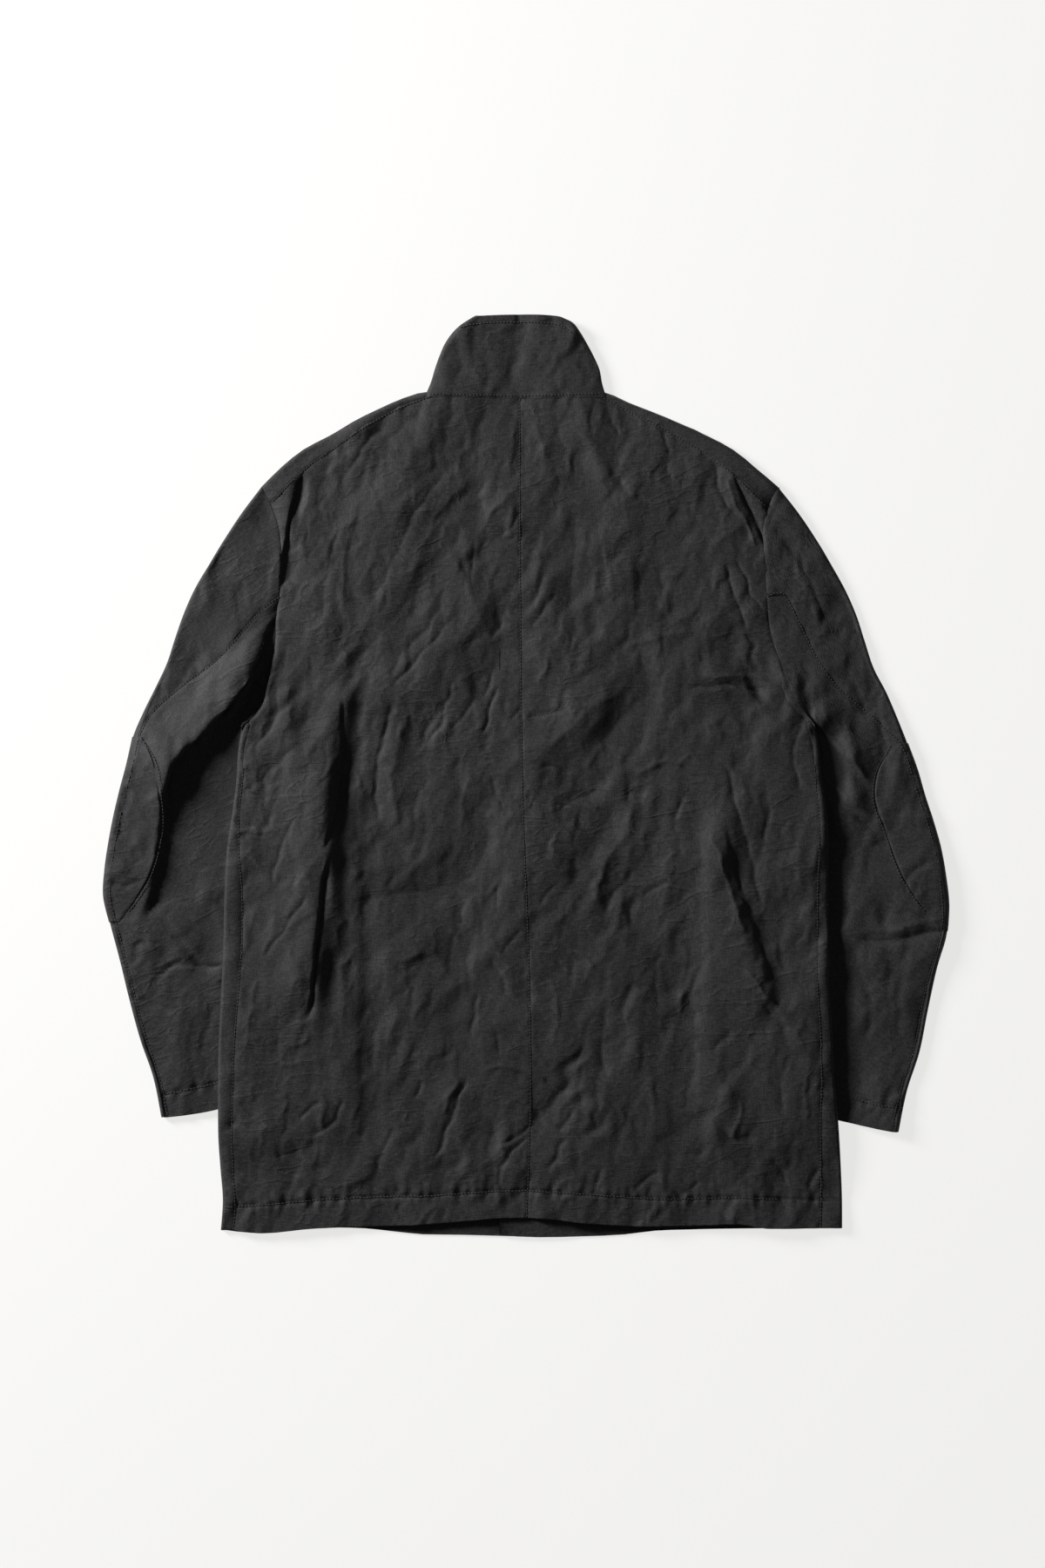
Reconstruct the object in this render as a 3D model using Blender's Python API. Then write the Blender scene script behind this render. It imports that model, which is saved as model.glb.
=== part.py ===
"""Hunting jacket laid flat with its back upwards, as cut and sewn pieces of cloth.

Each piece is one sheet: a grid laid between the piece's own seam lines in plan, raised to the
height at which the cloth lies, and given the cloth's thickness on its inner side.
Lengths are in millimetres until a point is placed, and +Y runs from the hem to the collar.
"""
import math

import bmesh
import bpy

MM = 0.001

# Cloth and seams
CLOTH = 1.5
COLLAR_CLOTH = 1.5
PATCH_CLOTH = 1.0
SEAM_GAP = 0.3
PATCH_LIFT = 0.8

# How high the layers lie above the surface
SLEEVE_UNDER_BODY = 4.5
SLEEVE_IN_SIGHT = 7.0
BODY_OVER_SLEEVE = 4.9
BODY_DEPTH = 6.5
COLLAR_TOP = 9.0
LAP_RISE = 1.8

# Centre front: the left front lies lowest and the right front laps over it
LEFT_FRONT_REACH = 10.0
RIGHT_FRONT_REACH = -24.0
CENTRE_FRONT = -6.0
FRONT_NECK_DEPTH = 306.0

# Where the cloth rises from the surface onto a sleeve, measured outside the sleeve's edge
RISE_START = 66.0
RISE_END = 40.0
# The part of a sleeve under the body ends here, from the middle outwards and below the cuff
HIDDEN_SLEEVE_END = 335.0
BELOW_CUFF = 22.0
# The sleeve sinks as it comes near the body's edge: where that starts outside the edge, over what
# width, and how it fades towards the armpit
COVER_START = 33.0
COVER_WIDTH = 16.0
COVER_TOP = 60.0
COVER_FADE = 22.0
# The right front settles back to the surface past the left front's edge
LAP_START = 14.0
LAP_WIDTH = 30.0
# How far from the armhole the sleeve settles to its own height
CAP_SETTLE = 26.0
# The patch ends on the sleeve's rolled edge this many degrees below its widest line
PATCH_TUCK = 45.0
PATCH_FROM_EDGE = 9.0
# Share of a fold's line over which it rises at each end
FOLD_END = 0.22
# A low panel follows its rolled edge's round: the higher the power, the closer to the edge
SIDE_POWER = 6
SHOULDER_POWER = 14
# The seam gaps of the back fade from its edges with these powers
SIDE_GAP_POWER = 8
TOP_GAP_POWER = 12
# The collar's base stands off the neck seam; its two ends reach up from the front neckline
COLLAR_OFF_NECK = 2.0
COLLAR_END_GAP = 1.5
COLLAR_END_BASE = 1.0
COLLAR_END_HEIGHT = 77.0

# Lines of the jacket in plan, x and y, from the hem or the neck outwards
CENTRE_BACK = ((0, -431), (4, -306), (2, -178), (-4, -8), (-6, 162), (-7, 371))
NECK_SEAM = ((-92, 372), (-60, 371), (-7, 370), (40, 371), (72, 372))
COLLAR_TOP_EDGE = ((-52, 447), (-38, 448), (-4, 449), (26, 448), (36, 446))

SIDES = {
    "left": {
        "sign": -1,
        # x, y, and the width of the front's strip that shows on the back
        "body_edge": ((-298, -443, 12), (-296, -416, 12), (-300, -356, 13), (-300, -273, 15),
                      (-297, -204, 17), (-295, -161, 18), (-294, -111, 17), (-292, -74, 12),
                      (-287, -40, 7), (-282, 0, 6), (-281, 20, 6), (-279, 38, 6), (-275, 49, 6)),
        "shoulder": ((-95, 374, 5), (-111, 373, 7), (-124, 366, 8), (-153, 353, 9), (-191, 332, 13),
                     (-225, 313, 17), (-258, 282, 19)),
        "shoulder_turn": (0.48, -0.88),
        "armhole_back": ((-258, 282), (-249, 265), (-240, 235), (-238, 203), (-241, 169),
                         (-243, 130), (-247, 100), (-253, 74), (-262, 57), (-275, 49)),
        "armhole_front": ((-258, 282), (-234, 250), (-215, 205), (-208, 155), (-222, 100),
                          (-250, 66), (-275, 49)),
        "sleeve_outer": ((-258, 282), (-284, 247), (-305, 213), (-325, 179), (-339, 145),
                         (-350, 111), (-366, 77), (-382, 43), (-390, 9), (-399, -25), (-406, -59),
                         (-411, -93), (-412, -119), (-406, -144), (-397, -178), (-380, -246),
                         (-363, -297), (-359, -322), (-356, -333)),
        "sleeve_inner": ((-275, 49), (-281, 38), (-283.5, 28), (-283, 14), (-274, -4), (-248, -30),
                         (-222, -62), (-214, -102), (-214, -178), (-215, -263), (-215, -301)),
        "cuff": ((-356, -333), (-340, -332), (-300, -325), (-215, -301)),
        # the seam down the back of the sleeve, between the armhole and the outer edge
        "sleeve_seam": ((-260, 160), (-296, 118), (-336, 87), (-364, 62)),
        "patch": ((-379, 38), (-369, 25), (-360, 8), (-357, -18), (-356, -50), (-363, -85),
                  (-374, -110), (-385, -126), (-396, -138)),
        "patch_rows": (0.42, 0.70),
        "back_hem": ((-298, -443), (-265, -446), (-210, -441), (-110, -438), (-24, -431), (0, -431)),
        "front_hem": ((10, -450), (-60, -448), (-110, -447), (-150, -442), (-210, -441),
                      (-265, -446), (-298, -443)),
        "collar_edge": ((-92, 375), (-91, 394), (-85, 409), (-79, 422), (-68, 436), (-52, 447)),
        "reach": LEFT_FRONT_REACH,
    },
    "right": {
        "sign": 1,
        "body_edge": ((308, -441, 22), (308, -416, 21), (304, -340, 18), (300, -295, 13),
                      (298, -249, 12), (295, -204, 12), (295, -161, 12), (294, -113, 11),
                      (294, -51, 9), (289, -14, 7), (286, 12, 6), (284, 36, 6), (279, 51, 6)),
        "shoulder": ((75, 374, 5), (90, 370, 7), (108, 359, 9), (130, 352, 11), (166, 336, 15),
                     (200, 319, 19), (234, 291, 22), (245, 282, 23)),
        "shoulder_turn": (-0.5, -0.87),
        "armhole_back": ((245, 282), (233, 262), (229, 245), (232, 220), (234, 190), (235, 158),
                         (242, 128), (250, 98), (256, 74), (265, 58), (279, 51)),
        "armhole_front": ((245, 282), (228, 250), (212, 205), (206, 155), (222, 102), (252, 68),
                          (279, 51)),
        "sleeve_outer": ((245, 282), (272, 247), (293, 213), (312, 179), (326, 145), (336, 111),
                         (353, 77), (367, 43), (380, 9), (390, -25), (401, -59), (408, -93),
                         (412, -134), (408, -161), (396, -205), (385, -263), (374, -297),
                         (366, -328), (363, -347)),
        "sleeve_inner": ((279, 51), (286, 37), (288.5, 27), (288.5, 14), (281, -4), (258, -30),
                         (232, -70), (222, -112), (222, -195), (222, -270), (222, -316)),
        "cuff": ((363, -347), (350, -346), (300, -335), (222, -316)),
        "sleeve_seam": ((250, 178), (266, 149), (283, 115), (303, 87), (332, 62)),
        "patch": ((360, 36), (352, 20), (344, 6), (340, -12), (342, -32), (350, -52), (358, -76),
                  (368, -100), (382, -122), (397, -138)),
        "patch_rows": (0.42, 0.70),
        "back_hem": ((308, -441), (249, -441), (225, -437), (164, -439), (105, -439), (45, -435),
                     (19, -431), (0, -431)),
        "front_hem": ((-24, -448), (10, -450), (86, -448), (117, -444), (164, -442), (213, -441),
                      (308, -440)),
        "collar_edge": ((72, 375), (71, 397), (64, 412), (54, 430), (46, 441), (36, 446)),
        "reach": RIGHT_FRONT_REACH,
    },
}

# Largest folds. Columns: height, reach on the left and on the right of the line, the line
BODY_FOLDS = (
    (9.0, 11, 70, ((-172, 134), (-176, 85), (-184, 34), (-189, -20), (-193, -80), (-194, -144),
                   (-206, -229), (-216, -275))),
    (6.0, 26, 9, ((100, 100), (140, 92), (180, 87), (240, 92))),
    (3.5, 12, 12, ((188, 312), (214, 280), (238, 244))),
    (4.0, 8, 16, ((-219, 298), (-229, 262), (-236, 215))),
    (3.0, 16, 14, ((-150, 350), (-166, 322), (-180, 290))),
    (5.0, 16, 42, ((178, -35), (206, -120), (226, -187), (246, -240))),
    (2.5, 10, 14, ((-44, -380), (-20, -362), (4, -345))),
    (2.5, 12, 10, ((34, -350), (24, -372), (14, -392))),
    (3.0, 12, 20, ((-58, -285), (-70, -315), (-82, -345))),
    (3.0, 14, 18, ((205, -300), (190, -330), (180, -365))),
    (2.5, 12, 16, ((-110, 240), (-128, 180), (-150, 120))),
    (2.5, 16, 12, ((36, 150), (22, 110), (10, 70))),
)
SLEEVE_FOLDS = {
    "left": (
        (9.0, 15, 48, ((-240, 140), (-254, 100), (-268, 72), (-289, 45), (-318, 16), (-340, 0),
                      (-355, -22))),
        (3.0, 10, 14, ((-338, -126), (-324, -138), (-314, -152))),
        (3.0, 9, 14, ((-352, -196), (-330, -186), (-312, -194))),
    ),
    "right": (
        (5.0, 30, 14, ((277, 72), (296, 40), (314, 20), (336, -8))),
        (4.0, 15, 12, ((286, 4), (308, -14), (330, -32))),
        (5.0, 10, 16, ((240, 262), (268, 225), (290, 182), (302, 160))),
        (4.0, 9, 14, ((330, -160), (370, -163), (414, -161))),
    ),
}

# Where the sleeve's two seams start on the armhole, run and end on the cuff
BACK_SEAM_SHARE = 0.45
BACK_SEAM_AT_CUFF = 0.05
SEAM_MEETS_EDGE = 0.42
SEAM_FROM_EDGE = 6.5
FRONT_SEAM_SHARE = 0.84
FRONT_SEAM_FROM_EDGE = 22.0
FRONT_SEAM_AT_CUFF = 0.86
# How fast the armhole's curve dies away along the sleeve
SLEEVE_FADE = 5.0
# Rows fan out from the armpit: the inner edge is walked slowly at first
INNER_PACE = 2.5
# Row of the armhole on the sleeve: its step away from the body, wider where it is hidden
ARMHOLE_STEP = (0.6, 0.4)
HIDDEN_STEP = (2.2, 0.4)
# Rows at the armpit where the hidden side of the sleeve is left open
OPEN_ROWS = 4

# Shares across or along a piece at which its columns and rows stand
SHOULDER_STEPS = 7
NECK_STEPS = 5
NECK_COLUMN = 0.36
CENTRE_COLUMN = 0.045
SHOULDER_MARKS = [(1.0 - NECK_COLUMN) * k / SHOULDER_STEPS for k in range(SHOULDER_STEPS + 1)]
BACK_COLUMNS = sorted(SHOULDER_MARKS + [.045, .14, .23, .32, .41, .73, .82, .91, 1.0])
FRONT_COLUMNS = ([0.0] + [CENTRE_COLUMN + (NECK_COLUMN - CENTRE_COLUMN) * k / NECK_STEPS
                          for k in range(NECK_STEPS)]
                 + [NECK_COLUMN + mark for mark in SHOULDER_MARKS])
BODY_ROWS_TO_ARMPIT = (0, .06, .12, .18, .235, .29, .35, .41, .48, .55, .62, .69, .76, .83, .89, .95, 1)
ROWS_ABOVE_ARMPIT = 8
ARMPIT_ROW = 0.62
SLEEVE_ROWS = (0, .05, .10, .14, .18, .22, .26, .30, .34, .38, .42, .46, .50, .54, .58,
               .62, .66, .70, .76, .82, .88, .94, 1)
CURL_ANGLES = (-90, -45, 0, 45, 90)


def smooth(share):
    """Ease from 0 to 1 with level ends."""
    share = min(max(share, 0.0), 1.0)
    return share * share * (3.0 - 2.0 * share)


def mix(a, b, share):
    """The point a share of the way from a to b."""
    return tuple(p + (q - p) * share for p, q in zip(a, b))


def line_through(points, steps=8):
    """A smooth line through the points: a share of its length gives the point there."""
    last = len(points) - 1
    dense = [points[0]]
    for k in range(last):
        before, start, end, after = (points[max(k - 1, 0)], points[k], points[k + 1],
                                     points[min(k + 2, last)])
        for step in range(1, steps + 1):
            t = step / steps
            dense.append(tuple(
                0.5 * (2 * b + (c - a) * t + (2 * a - 5 * b + 4 * c - d) * t ** 2
                       + (3 * b - a - 3 * c + d) * t ** 3)
                for a, b, c, d in zip(before, start, end, after)))
    reach = [0.0]
    for a, b in zip(dense, dense[1:]):
        reach.append(reach[-1] + math.dist(a[:2], b[:2]))

    def at(share):
        goal = min(max(share, 0.0), 1.0) * reach[-1]
        k = 1
        while k < len(reach) - 1 and reach[k] < goal:
            k += 1
        span = reach[k] - reach[k - 1]
        return mix(dense[k - 1], dense[k], (goal - reach[k - 1]) / span if span else 0.0)

    return at


def chain(first, second, share):
    """One line made of two, the first taking the given share."""
    def at(t):
        if t <= share:
            return first(t / share)
        return second((t - share) / (1.0 - share))
    return at


def stepped(line, first=0.0, steps=8):
    """Straight stretches between equal shares of a line, which both pieces at a seam follow."""
    marks = ([0.0] if first else []) + [first + (1.0 - first) * k / steps for k in range(steps + 1)]

    def at(share):
        share = min(max(share, 0.0), 1.0)
        for low, high in zip(marks, marks[1:]):
            if share <= high:
                break
        return mix(line(low), line(high), (share - low) / (high - low))

    return at


def turned(line):
    """The same line walked the other way."""
    return lambda t: line(1.0 - t)


def step_between(a, b):
    """The step from one plan point to another."""
    return (b[0] - a[0], b[1] - a[1])


def patch(low, high, first, last, fade=1.0):
    """The plan surface between four lines: low and high run with u, first and last with v.

    Rows are straight between first and last, plus the bulge of the low and high lines, which
    fades along the piece and shrinks with its width.
    """
    def at(u, v):
        start, end = first(v)[:2], last(v)[:2]
        x, y = mix(start, end, u)
        for line, strength in ((low, (1.0 - v) ** fade), (high, v ** fade)):
            near, far = line(0)[:2], line(1)[:2]
            bulge = step_between(mix(near, far, u), line(u)[:2])
            scale = strength * min(1.0, math.dist(start, end) / math.dist(near, far))
            x, y = x + bulge[0] * scale, y + bulge[1] * scale
        return (x, y)
    return at


def beside(line, share, away):
    """A point square to a line, on its left when walked along for a positive distance."""
    dx, dy = step_between(line(max(share - 0.004, 0.0)), line(min(share + 0.004, 1.0)))
    span = math.hypot(dx, dy)
    x, y = line(share)[:2]
    return (x - away * dy / span, y + away * dx / span)


def nearest_on(points, x, y):
    """Distance to a line of points, the side it lies on, and the share of its length there."""
    total = sum(math.dist(a, b) for a, b in zip(points, points[1:]))
    walked, best = 0.0, (1e9, 1.0, 0.0)
    for (ax, ay), (bx, by) in zip(points, points[1:]):
        dx, dy = bx - ax, by - ay
        span = math.hypot(dx, dy)
        t = min(max(((x - ax) * dx + (y - ay) * dy) / span ** 2, 0.0), 1.0)
        away = math.hypot(x - ax - t * dx, y - ay - t * dy)
        if away < best[0]:
            side = 1.0 if dx * (y - ay) - dy * (x - ax) > 0 else -1.0
            best = (away, side, (walked + t * span) / total)
        walked += span
    return best


def folds_at(table, x, y):
    """Height that the folds of a table add at a point in plan."""
    height = 0.0
    for rise, left_reach, right_reach, line in table:
        away, side, share = nearest_on(line, x, y)
        reach = left_reach if side > 0 else right_reach
        if away < reach:
            ends = smooth(share / FOLD_END) * smooth((1.0 - share) / FOLD_END)
            height += rise * ends * math.cos(0.5 * math.pi * away / reach) ** 2
    return height


def sleeve_under_body(side):
    """Outline of the part of a sleeve that lies under the body."""
    far = HIDDEN_SLEEVE_END * side["sign"]
    inner = list(side["sleeve_inner"])
    return inner + [(far, inner[-1][1] - BELOW_CUFF), (far, inner[0][1])]


def inside(polygon, x, y):
    """Whether a point lies inside a closed outline."""
    hit = False
    for (ax, ay), (bx, by) in zip(polygon, polygon[1:] + polygon[:1]):
        if (ay > y) != (by > y) and x < (bx - ax) * (y - ay) / (by - ay) + ax:
            hit = not hit
    return hit


HIDDEN_SLEEVES = [sleeve_under_body(side) for side in SIDES.values()]


def front_level(x, y):
    """Height of the body's underside, which climbs over the sleeves tucked below it."""
    level = 0.0
    for outline in HIDDEN_SLEEVES:
        away = 0.0
        if not inside(outline, x, y):
            away = nearest_on(outline + outline[:1], x, y)[0]
        level = max(level, smooth((RISE_START - away) / (RISE_START - RISE_END)))
    return BODY_OVER_SLEEVE * level


def back_level(x, y):
    """Height of the body's upper face, with its folds."""
    return front_level(x, y) + BODY_DEPTH + folds_at(BODY_FOLDS, x, y)


def right_front_level(x, y):
    """The right front steps up over the left front's edge."""
    lap = 1.0 - smooth((x - LEFT_FRONT_REACH - LAP_START) / LAP_WIDTH)
    return max(front_level(x, y), LAP_RISE * lap)


def rounded_edge(low, high, angle, place):
    """A point on an edge that rolls from the lower to the upper layer of cloth.

    place gives the plan point at a distance in from the outermost line.
    """
    radius = 0.5 * (high - low)
    x, y = place(radius * (1.0 - math.cos(math.radians(angle))))
    return (x, y, 0.5 * (low + high) + radius * math.sin(math.radians(angle)))


def sheet(name, columns, rows, place, flip, wall, colour, keep=None, lift=0.0):
    """One piece of cloth: a grid whose points are placed by column and row."""
    mesh = bpy.data.meshes.new(name)
    grid = bmesh.new()
    bmesh.ops.create_grid(grid, x_segments=len(columns) - 1, y_segments=len(rows) - 1, size=0.5)
    spots = {}
    for vert in grid.verts:
        i = round((vert.co.x + 0.5) * (len(columns) - 1))
        j = round((vert.co.y + 0.5) * (len(rows) - 1))
        spots[vert] = (i, j)
    if keep:
        spare = [face for face in grid.faces
                 if not keep(min(spots[v][0] for v in face.verts), min(spots[v][1] for v in face.verts))]
        bmesh.ops.delete(grid, geom=spare, context="FACES")
    for vert in grid.verts:
        i, j = spots[vert]
        vert.co = [value * MM for value in place(columns[i], rows[j])]
    if flip:
        bmesh.ops.reverse_faces(grid, faces=grid.faces)
    grid.normal_update()
    if lift:
        moves = {vert: vert.normal * lift * MM for vert in grid.verts}
        for vert, move in moves.items():
            vert.co += move
    grid.to_mesh(mesh)
    grid.free()
    mesh.shade_smooth()
    piece = bpy.data.objects.new(name, mesh)
    bpy.context.collection.objects.link(piece)
    thickness = piece.modifiers.new("cloth thickness", "SOLIDIFY")
    thickness.thickness = wall * MM
    thickness.offset = -1.0
    mesh.materials.append(cloth_material(name, colour))
    return piece


def cloth_material(name, colour):
    """Washed charcoal cloth."""
    material = bpy.data.materials.new(name + "_cloth")
    material.use_nodes = True
    shader = material.node_tree.nodes["Principled BSDF"]
    shader.inputs["Base Color"].default_value = (*colour, 1.0)
    shader.inputs["Roughness"].default_value = 0.85
    shader.inputs["Metallic"].default_value = 0.0
    return material


CHARCOAL = (0.032, 0.031, 0.032)
DARKER = (0.028, 0.028, 0.030)


def body_lines(side):
    """The body's lines on one side: edge, side seam, shoulder edge and shoulder seam."""
    inward = -side["sign"]
    turn_x, turn_y = side["shoulder_turn"]
    edge = line_through(side["body_edge"])
    shoulder = stepped(line_through(side["shoulder"]), steps=SHOULDER_STEPS)

    def side_seam(t):
        x, y, strip = edge(t)
        return (x + inward * strip, y)

    def shoulder_seam(t):
        x, y, strip = shoulder(t)
        return (x + turn_x * strip, y + turn_y * strip)

    return edge, side_seam, shoulder, shoulder_seam


def body_rows():
    """Rows from the hem to the shoulder, with one exactly at the armpit."""
    rows = [ARMPIT_ROW * share for share in BODY_ROWS_TO_ARMPIT]
    return rows + [ARMPIT_ROW + (1.0 - ARMPIT_ROW) * (k + 1) / ROWS_ABOVE_ARMPIT
                   for k in range(ROWS_ABOVE_ARMPIT)]


def armhole_lines(side):
    """The back and front armhole from the shoulder's edge down, and the shoulder seam's share."""
    points = side["armhole_back"]
    length = sum(math.dist(a, b) for a, b in zip(points, points[1:]))
    share = math.dist(points[0], points[1]) / length
    return (stepped(line_through(points), share), stepped(line_through(side["armhole_front"])), share)


def front_neckline(side):
    """The front's neckline from the centre front to the neck point, which the collar follows."""
    neck_x, neck_y = side["shoulder"][0][:2]
    sign = side["sign"]
    return stepped(line_through(((CENTRE_FRONT, FRONT_NECK_DEPTH),
                                 (CENTRE_FRONT + sign * 30, FRONT_NECK_DEPTH + 5),
                                 (CENTRE_FRONT + sign * 60, FRONT_NECK_DEPTH + 21),
                                 (neck_x - sign * 9, FRONT_NECK_DEPTH + 42),
                                 (neck_x, neck_y))), steps=NECK_STEPS)


def make_back(which):
    """A back panel, from the side seam and armhole to the centre back seam."""
    side = SIDES[which]
    side_seam, shoulder_seam = body_lines(side)[1::2]
    armhole, _, start = armhole_lines(side)
    centre = line_through(CENTRE_BACK)
    neck_points = NECK_SEAM if side["sign"] < 0 else NECK_SEAM[::-1]
    half_neck = line_through(neck_points[:3])
    outer = chain(side_seam, lambda t: armhole(1.0 - t * (1.0 - start)), ARMPIT_ROW)
    top = chain(turned(shoulder_seam), half_neck, 1.0 - NECK_COLUMN)
    panel = patch(line_through(side["back_hem"]), top, outer, centre)
    inward = -side["sign"]

    def place(u, v):
        x, y = panel(u, v)
        # half a seam's gap at the centre back, a whole one at the side and shoulder
        x += inward * SEAM_GAP * (2.5 * (1.0 - u) ** SIDE_GAP_POWER - 0.5 * u ** SIDE_GAP_POWER)
        y -= 2.0 * SEAM_GAP * v ** TOP_GAP_POWER
        return (x, y, back_level(x, y))

    return sheet("back_" + which, BACK_COLUMNS, body_rows(), place, side["sign"] > 0, CLOTH, CHARCOAL)


def make_front(which):
    """A front panel, with the strips that turn over the side and the shoulder onto the back."""
    side = SIDES[which]
    inward = -side["sign"]
    turn_x, turn_y = side["shoulder_turn"]
    edge, _, shoulder, _ = body_lines(side)
    level = front_level if side["sign"] < 0 else right_front_level
    armhole = armhole_lines(side)[1]
    outer = chain(edge, turned(armhole), ARMPIT_ROW)
    reach = side["reach"]
    hem_start = side["front_hem"][0][1]
    neckline = chain(lambda t: (reach + (CENTRE_FRONT - reach) * t, FRONT_NECK_DEPTH),
                     front_neckline(side), CENTRE_COLUMN / NECK_COLUMN)
    top = chain(neckline, shoulder, NECK_COLUMN)
    panel = patch(line_through(side["front_hem"]), top,
                  lambda t: (reach, hem_start + (FRONT_NECK_DEPTH - hem_start) * t), outer)
    rows = [("flat", share) for share in body_rows()]
    rows += [("curl", angle) for angle in CURL_ANGLES[1:]] + [("strip", 0.5), ("strip", 1.0)]
    columns = [("flat", share) for share in FRONT_COLUMNS]
    columns += [("curl", angle) for angle in CURL_ANGLES[1:]] + [("strip", 0.5), ("strip", 1.0)]

    def radius_at(x, y):
        return 0.5 * (back_level(x, y) - level(x, y))

    def flat_point(u, v):
        x, y = panel(u, v)
        if v < ARMPIT_ROW + 0.001:
            x += inward * radius_at(*outer(v)[:2]) * u ** SIDE_POWER
        if u > NECK_COLUMN - 0.001:
            radius = radius_at(*top(u)[:2])
            x += turn_x * radius * v ** SHOULDER_POWER
            y += turn_y * radius * v ** SHOULDER_POWER
        return (x, y, level(x, y))

    def turned_point(kind, amount, edge_x, edge_y, strip, step_x, step_y):
        low, high = level(edge_x, edge_y), back_level(edge_x, edge_y)
        if kind == "curl":
            return rounded_edge(low, high, amount,
                                lambda d: (edge_x + step_x * d, edge_y + step_y * d))
        start = 0.5 * (high - low)
        along = start + (strip - start) * amount
        x, y = edge_x + step_x * along, edge_y + step_y * along
        return (x, y, back_level(x, y))

    def place(column, row):
        if column[0] == "flat" and row[0] == "flat":
            return flat_point(column[1], row[1])
        if column[0] == "flat":
            t = (column[1] - NECK_COLUMN) / (1.0 - NECK_COLUMN)
            return turned_point(row[0], row[1], *shoulder(t), turn_x, turn_y)
        return turned_point(column[0], column[1], *edge(row[1] / ARMPIT_ROW), inward, 0.0)

    flat_columns, flat_rows = len(FRONT_COLUMNS) - 1, len(body_rows()) - 1
    armpit, neck = len(BODY_ROWS_TO_ARMPIT) - 1, FRONT_COLUMNS.index(NECK_COLUMN)

    def keep(i, j):
        if i < flat_columns and j < flat_rows:
            return True
        if i >= flat_columns:
            return j < armpit
        return i >= neck

    return sheet("front_" + which, columns, rows, place, side["sign"] > 0, CLOTH, CHARCOAL, keep)


def offset_line(line, first, middle, last):
    """A line beside another, moved by one step at its start, one on its way and one at its end."""
    def at(t):
        early, late = smooth(t / 0.3), smooth((t - 0.9) / 0.1)
        step = mix(mix(first, middle, early), last, late)
        x, y = line(t)
        return (x + step[0], y + step[1])
    return at


def sleeve_lines(side):
    """The plan lines of a sleeve, each from the armhole to the cuff or across it."""
    outer = line_through(side["sleeve_outer"])
    inner_line = line_through(side["sleeve_inner"])
    inner = lambda t: inner_line(t ** INNER_PACE)
    cuff = line_through(side["cuff"])
    armhole_back, armhole_front, _ = armhole_lines(side)
    inward = -side["sign"]
    knee = SEAM_MEETS_EDGE
    edge_at_knee = outer(knee)
    narrow = (inward * SEAM_FROM_EDGE, 0.0)
    seam_top = line_through([armhole_back(BACK_SEAM_SHARE)] + list(side["sleeve_seam"])
                            + [(edge_at_knee[0] + narrow[0], edge_at_knee[1])])
    seam_low = offset_line(lambda t: outer(knee + (1.0 - knee) * t), narrow, narrow,
                           step_between(outer(1), cuff(BACK_SEAM_AT_CUFF)))
    seam = chain(seam_top, seam_low, knee)
    front_seam = offset_line(inner, step_between(inner(0), armhole_front(FRONT_SEAM_SHARE)),
                             (-inward * FRONT_SEAM_FROM_EDGE, 0.0),
                             step_between(inner(1), cuff(FRONT_SEAM_AT_CUFF)))
    return outer, inner, cuff, armhole_back, armhole_front, seam, front_seam


def body_cover(side, x, y):
    """How far the body covers the sleeve at a point, from 0 in sight to 1 below it."""
    points = side["body_edge"]
    edge_x = points[0][0]
    for (ax, ay, _), (bx, by, _) in zip(points, points[1:]):
        if ay <= y <= by:
            edge_x = ax + (bx - ax) * (y - ay) / (by - ay)
    if y > points[-1][1]:
        edge_x = points[-1][0]
    depth = (edge_x - x) * side["sign"]
    return smooth((depth + COVER_START) / COVER_WIDTH) * smooth((COVER_TOP - y) / COVER_FADE)


def sleeve_levels(which, x, y, away, low_start):
    """Heights of the sleeve's lower and upper face at a point, some way from the armhole."""
    side = SIDES[which]
    settle = smooth(away / CAP_SETTLE)
    cover = body_cover(side, x, y)
    own = (SLEEVE_IN_SIGHT + folds_at(SLEEVE_FOLDS[which], x, y)) * (1.0 - cover)
    own += SLEEVE_UNDER_BODY * cover
    low = low_start * (1.0 - settle)
    high = back_level(x, y) * (1.0 - settle) + own * settle
    return low, high


def from_armhole(sign, v, kind, x, y, z):
    """The sleeve's first row steps away from the body by the gap of the seam."""
    if v > 0:
        return (x, y, z)
    step = ARMHOLE_STEP if kind == "high" else HIDDEN_STEP
    return (x + sign * step[0], y + step[1], z)


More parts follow.
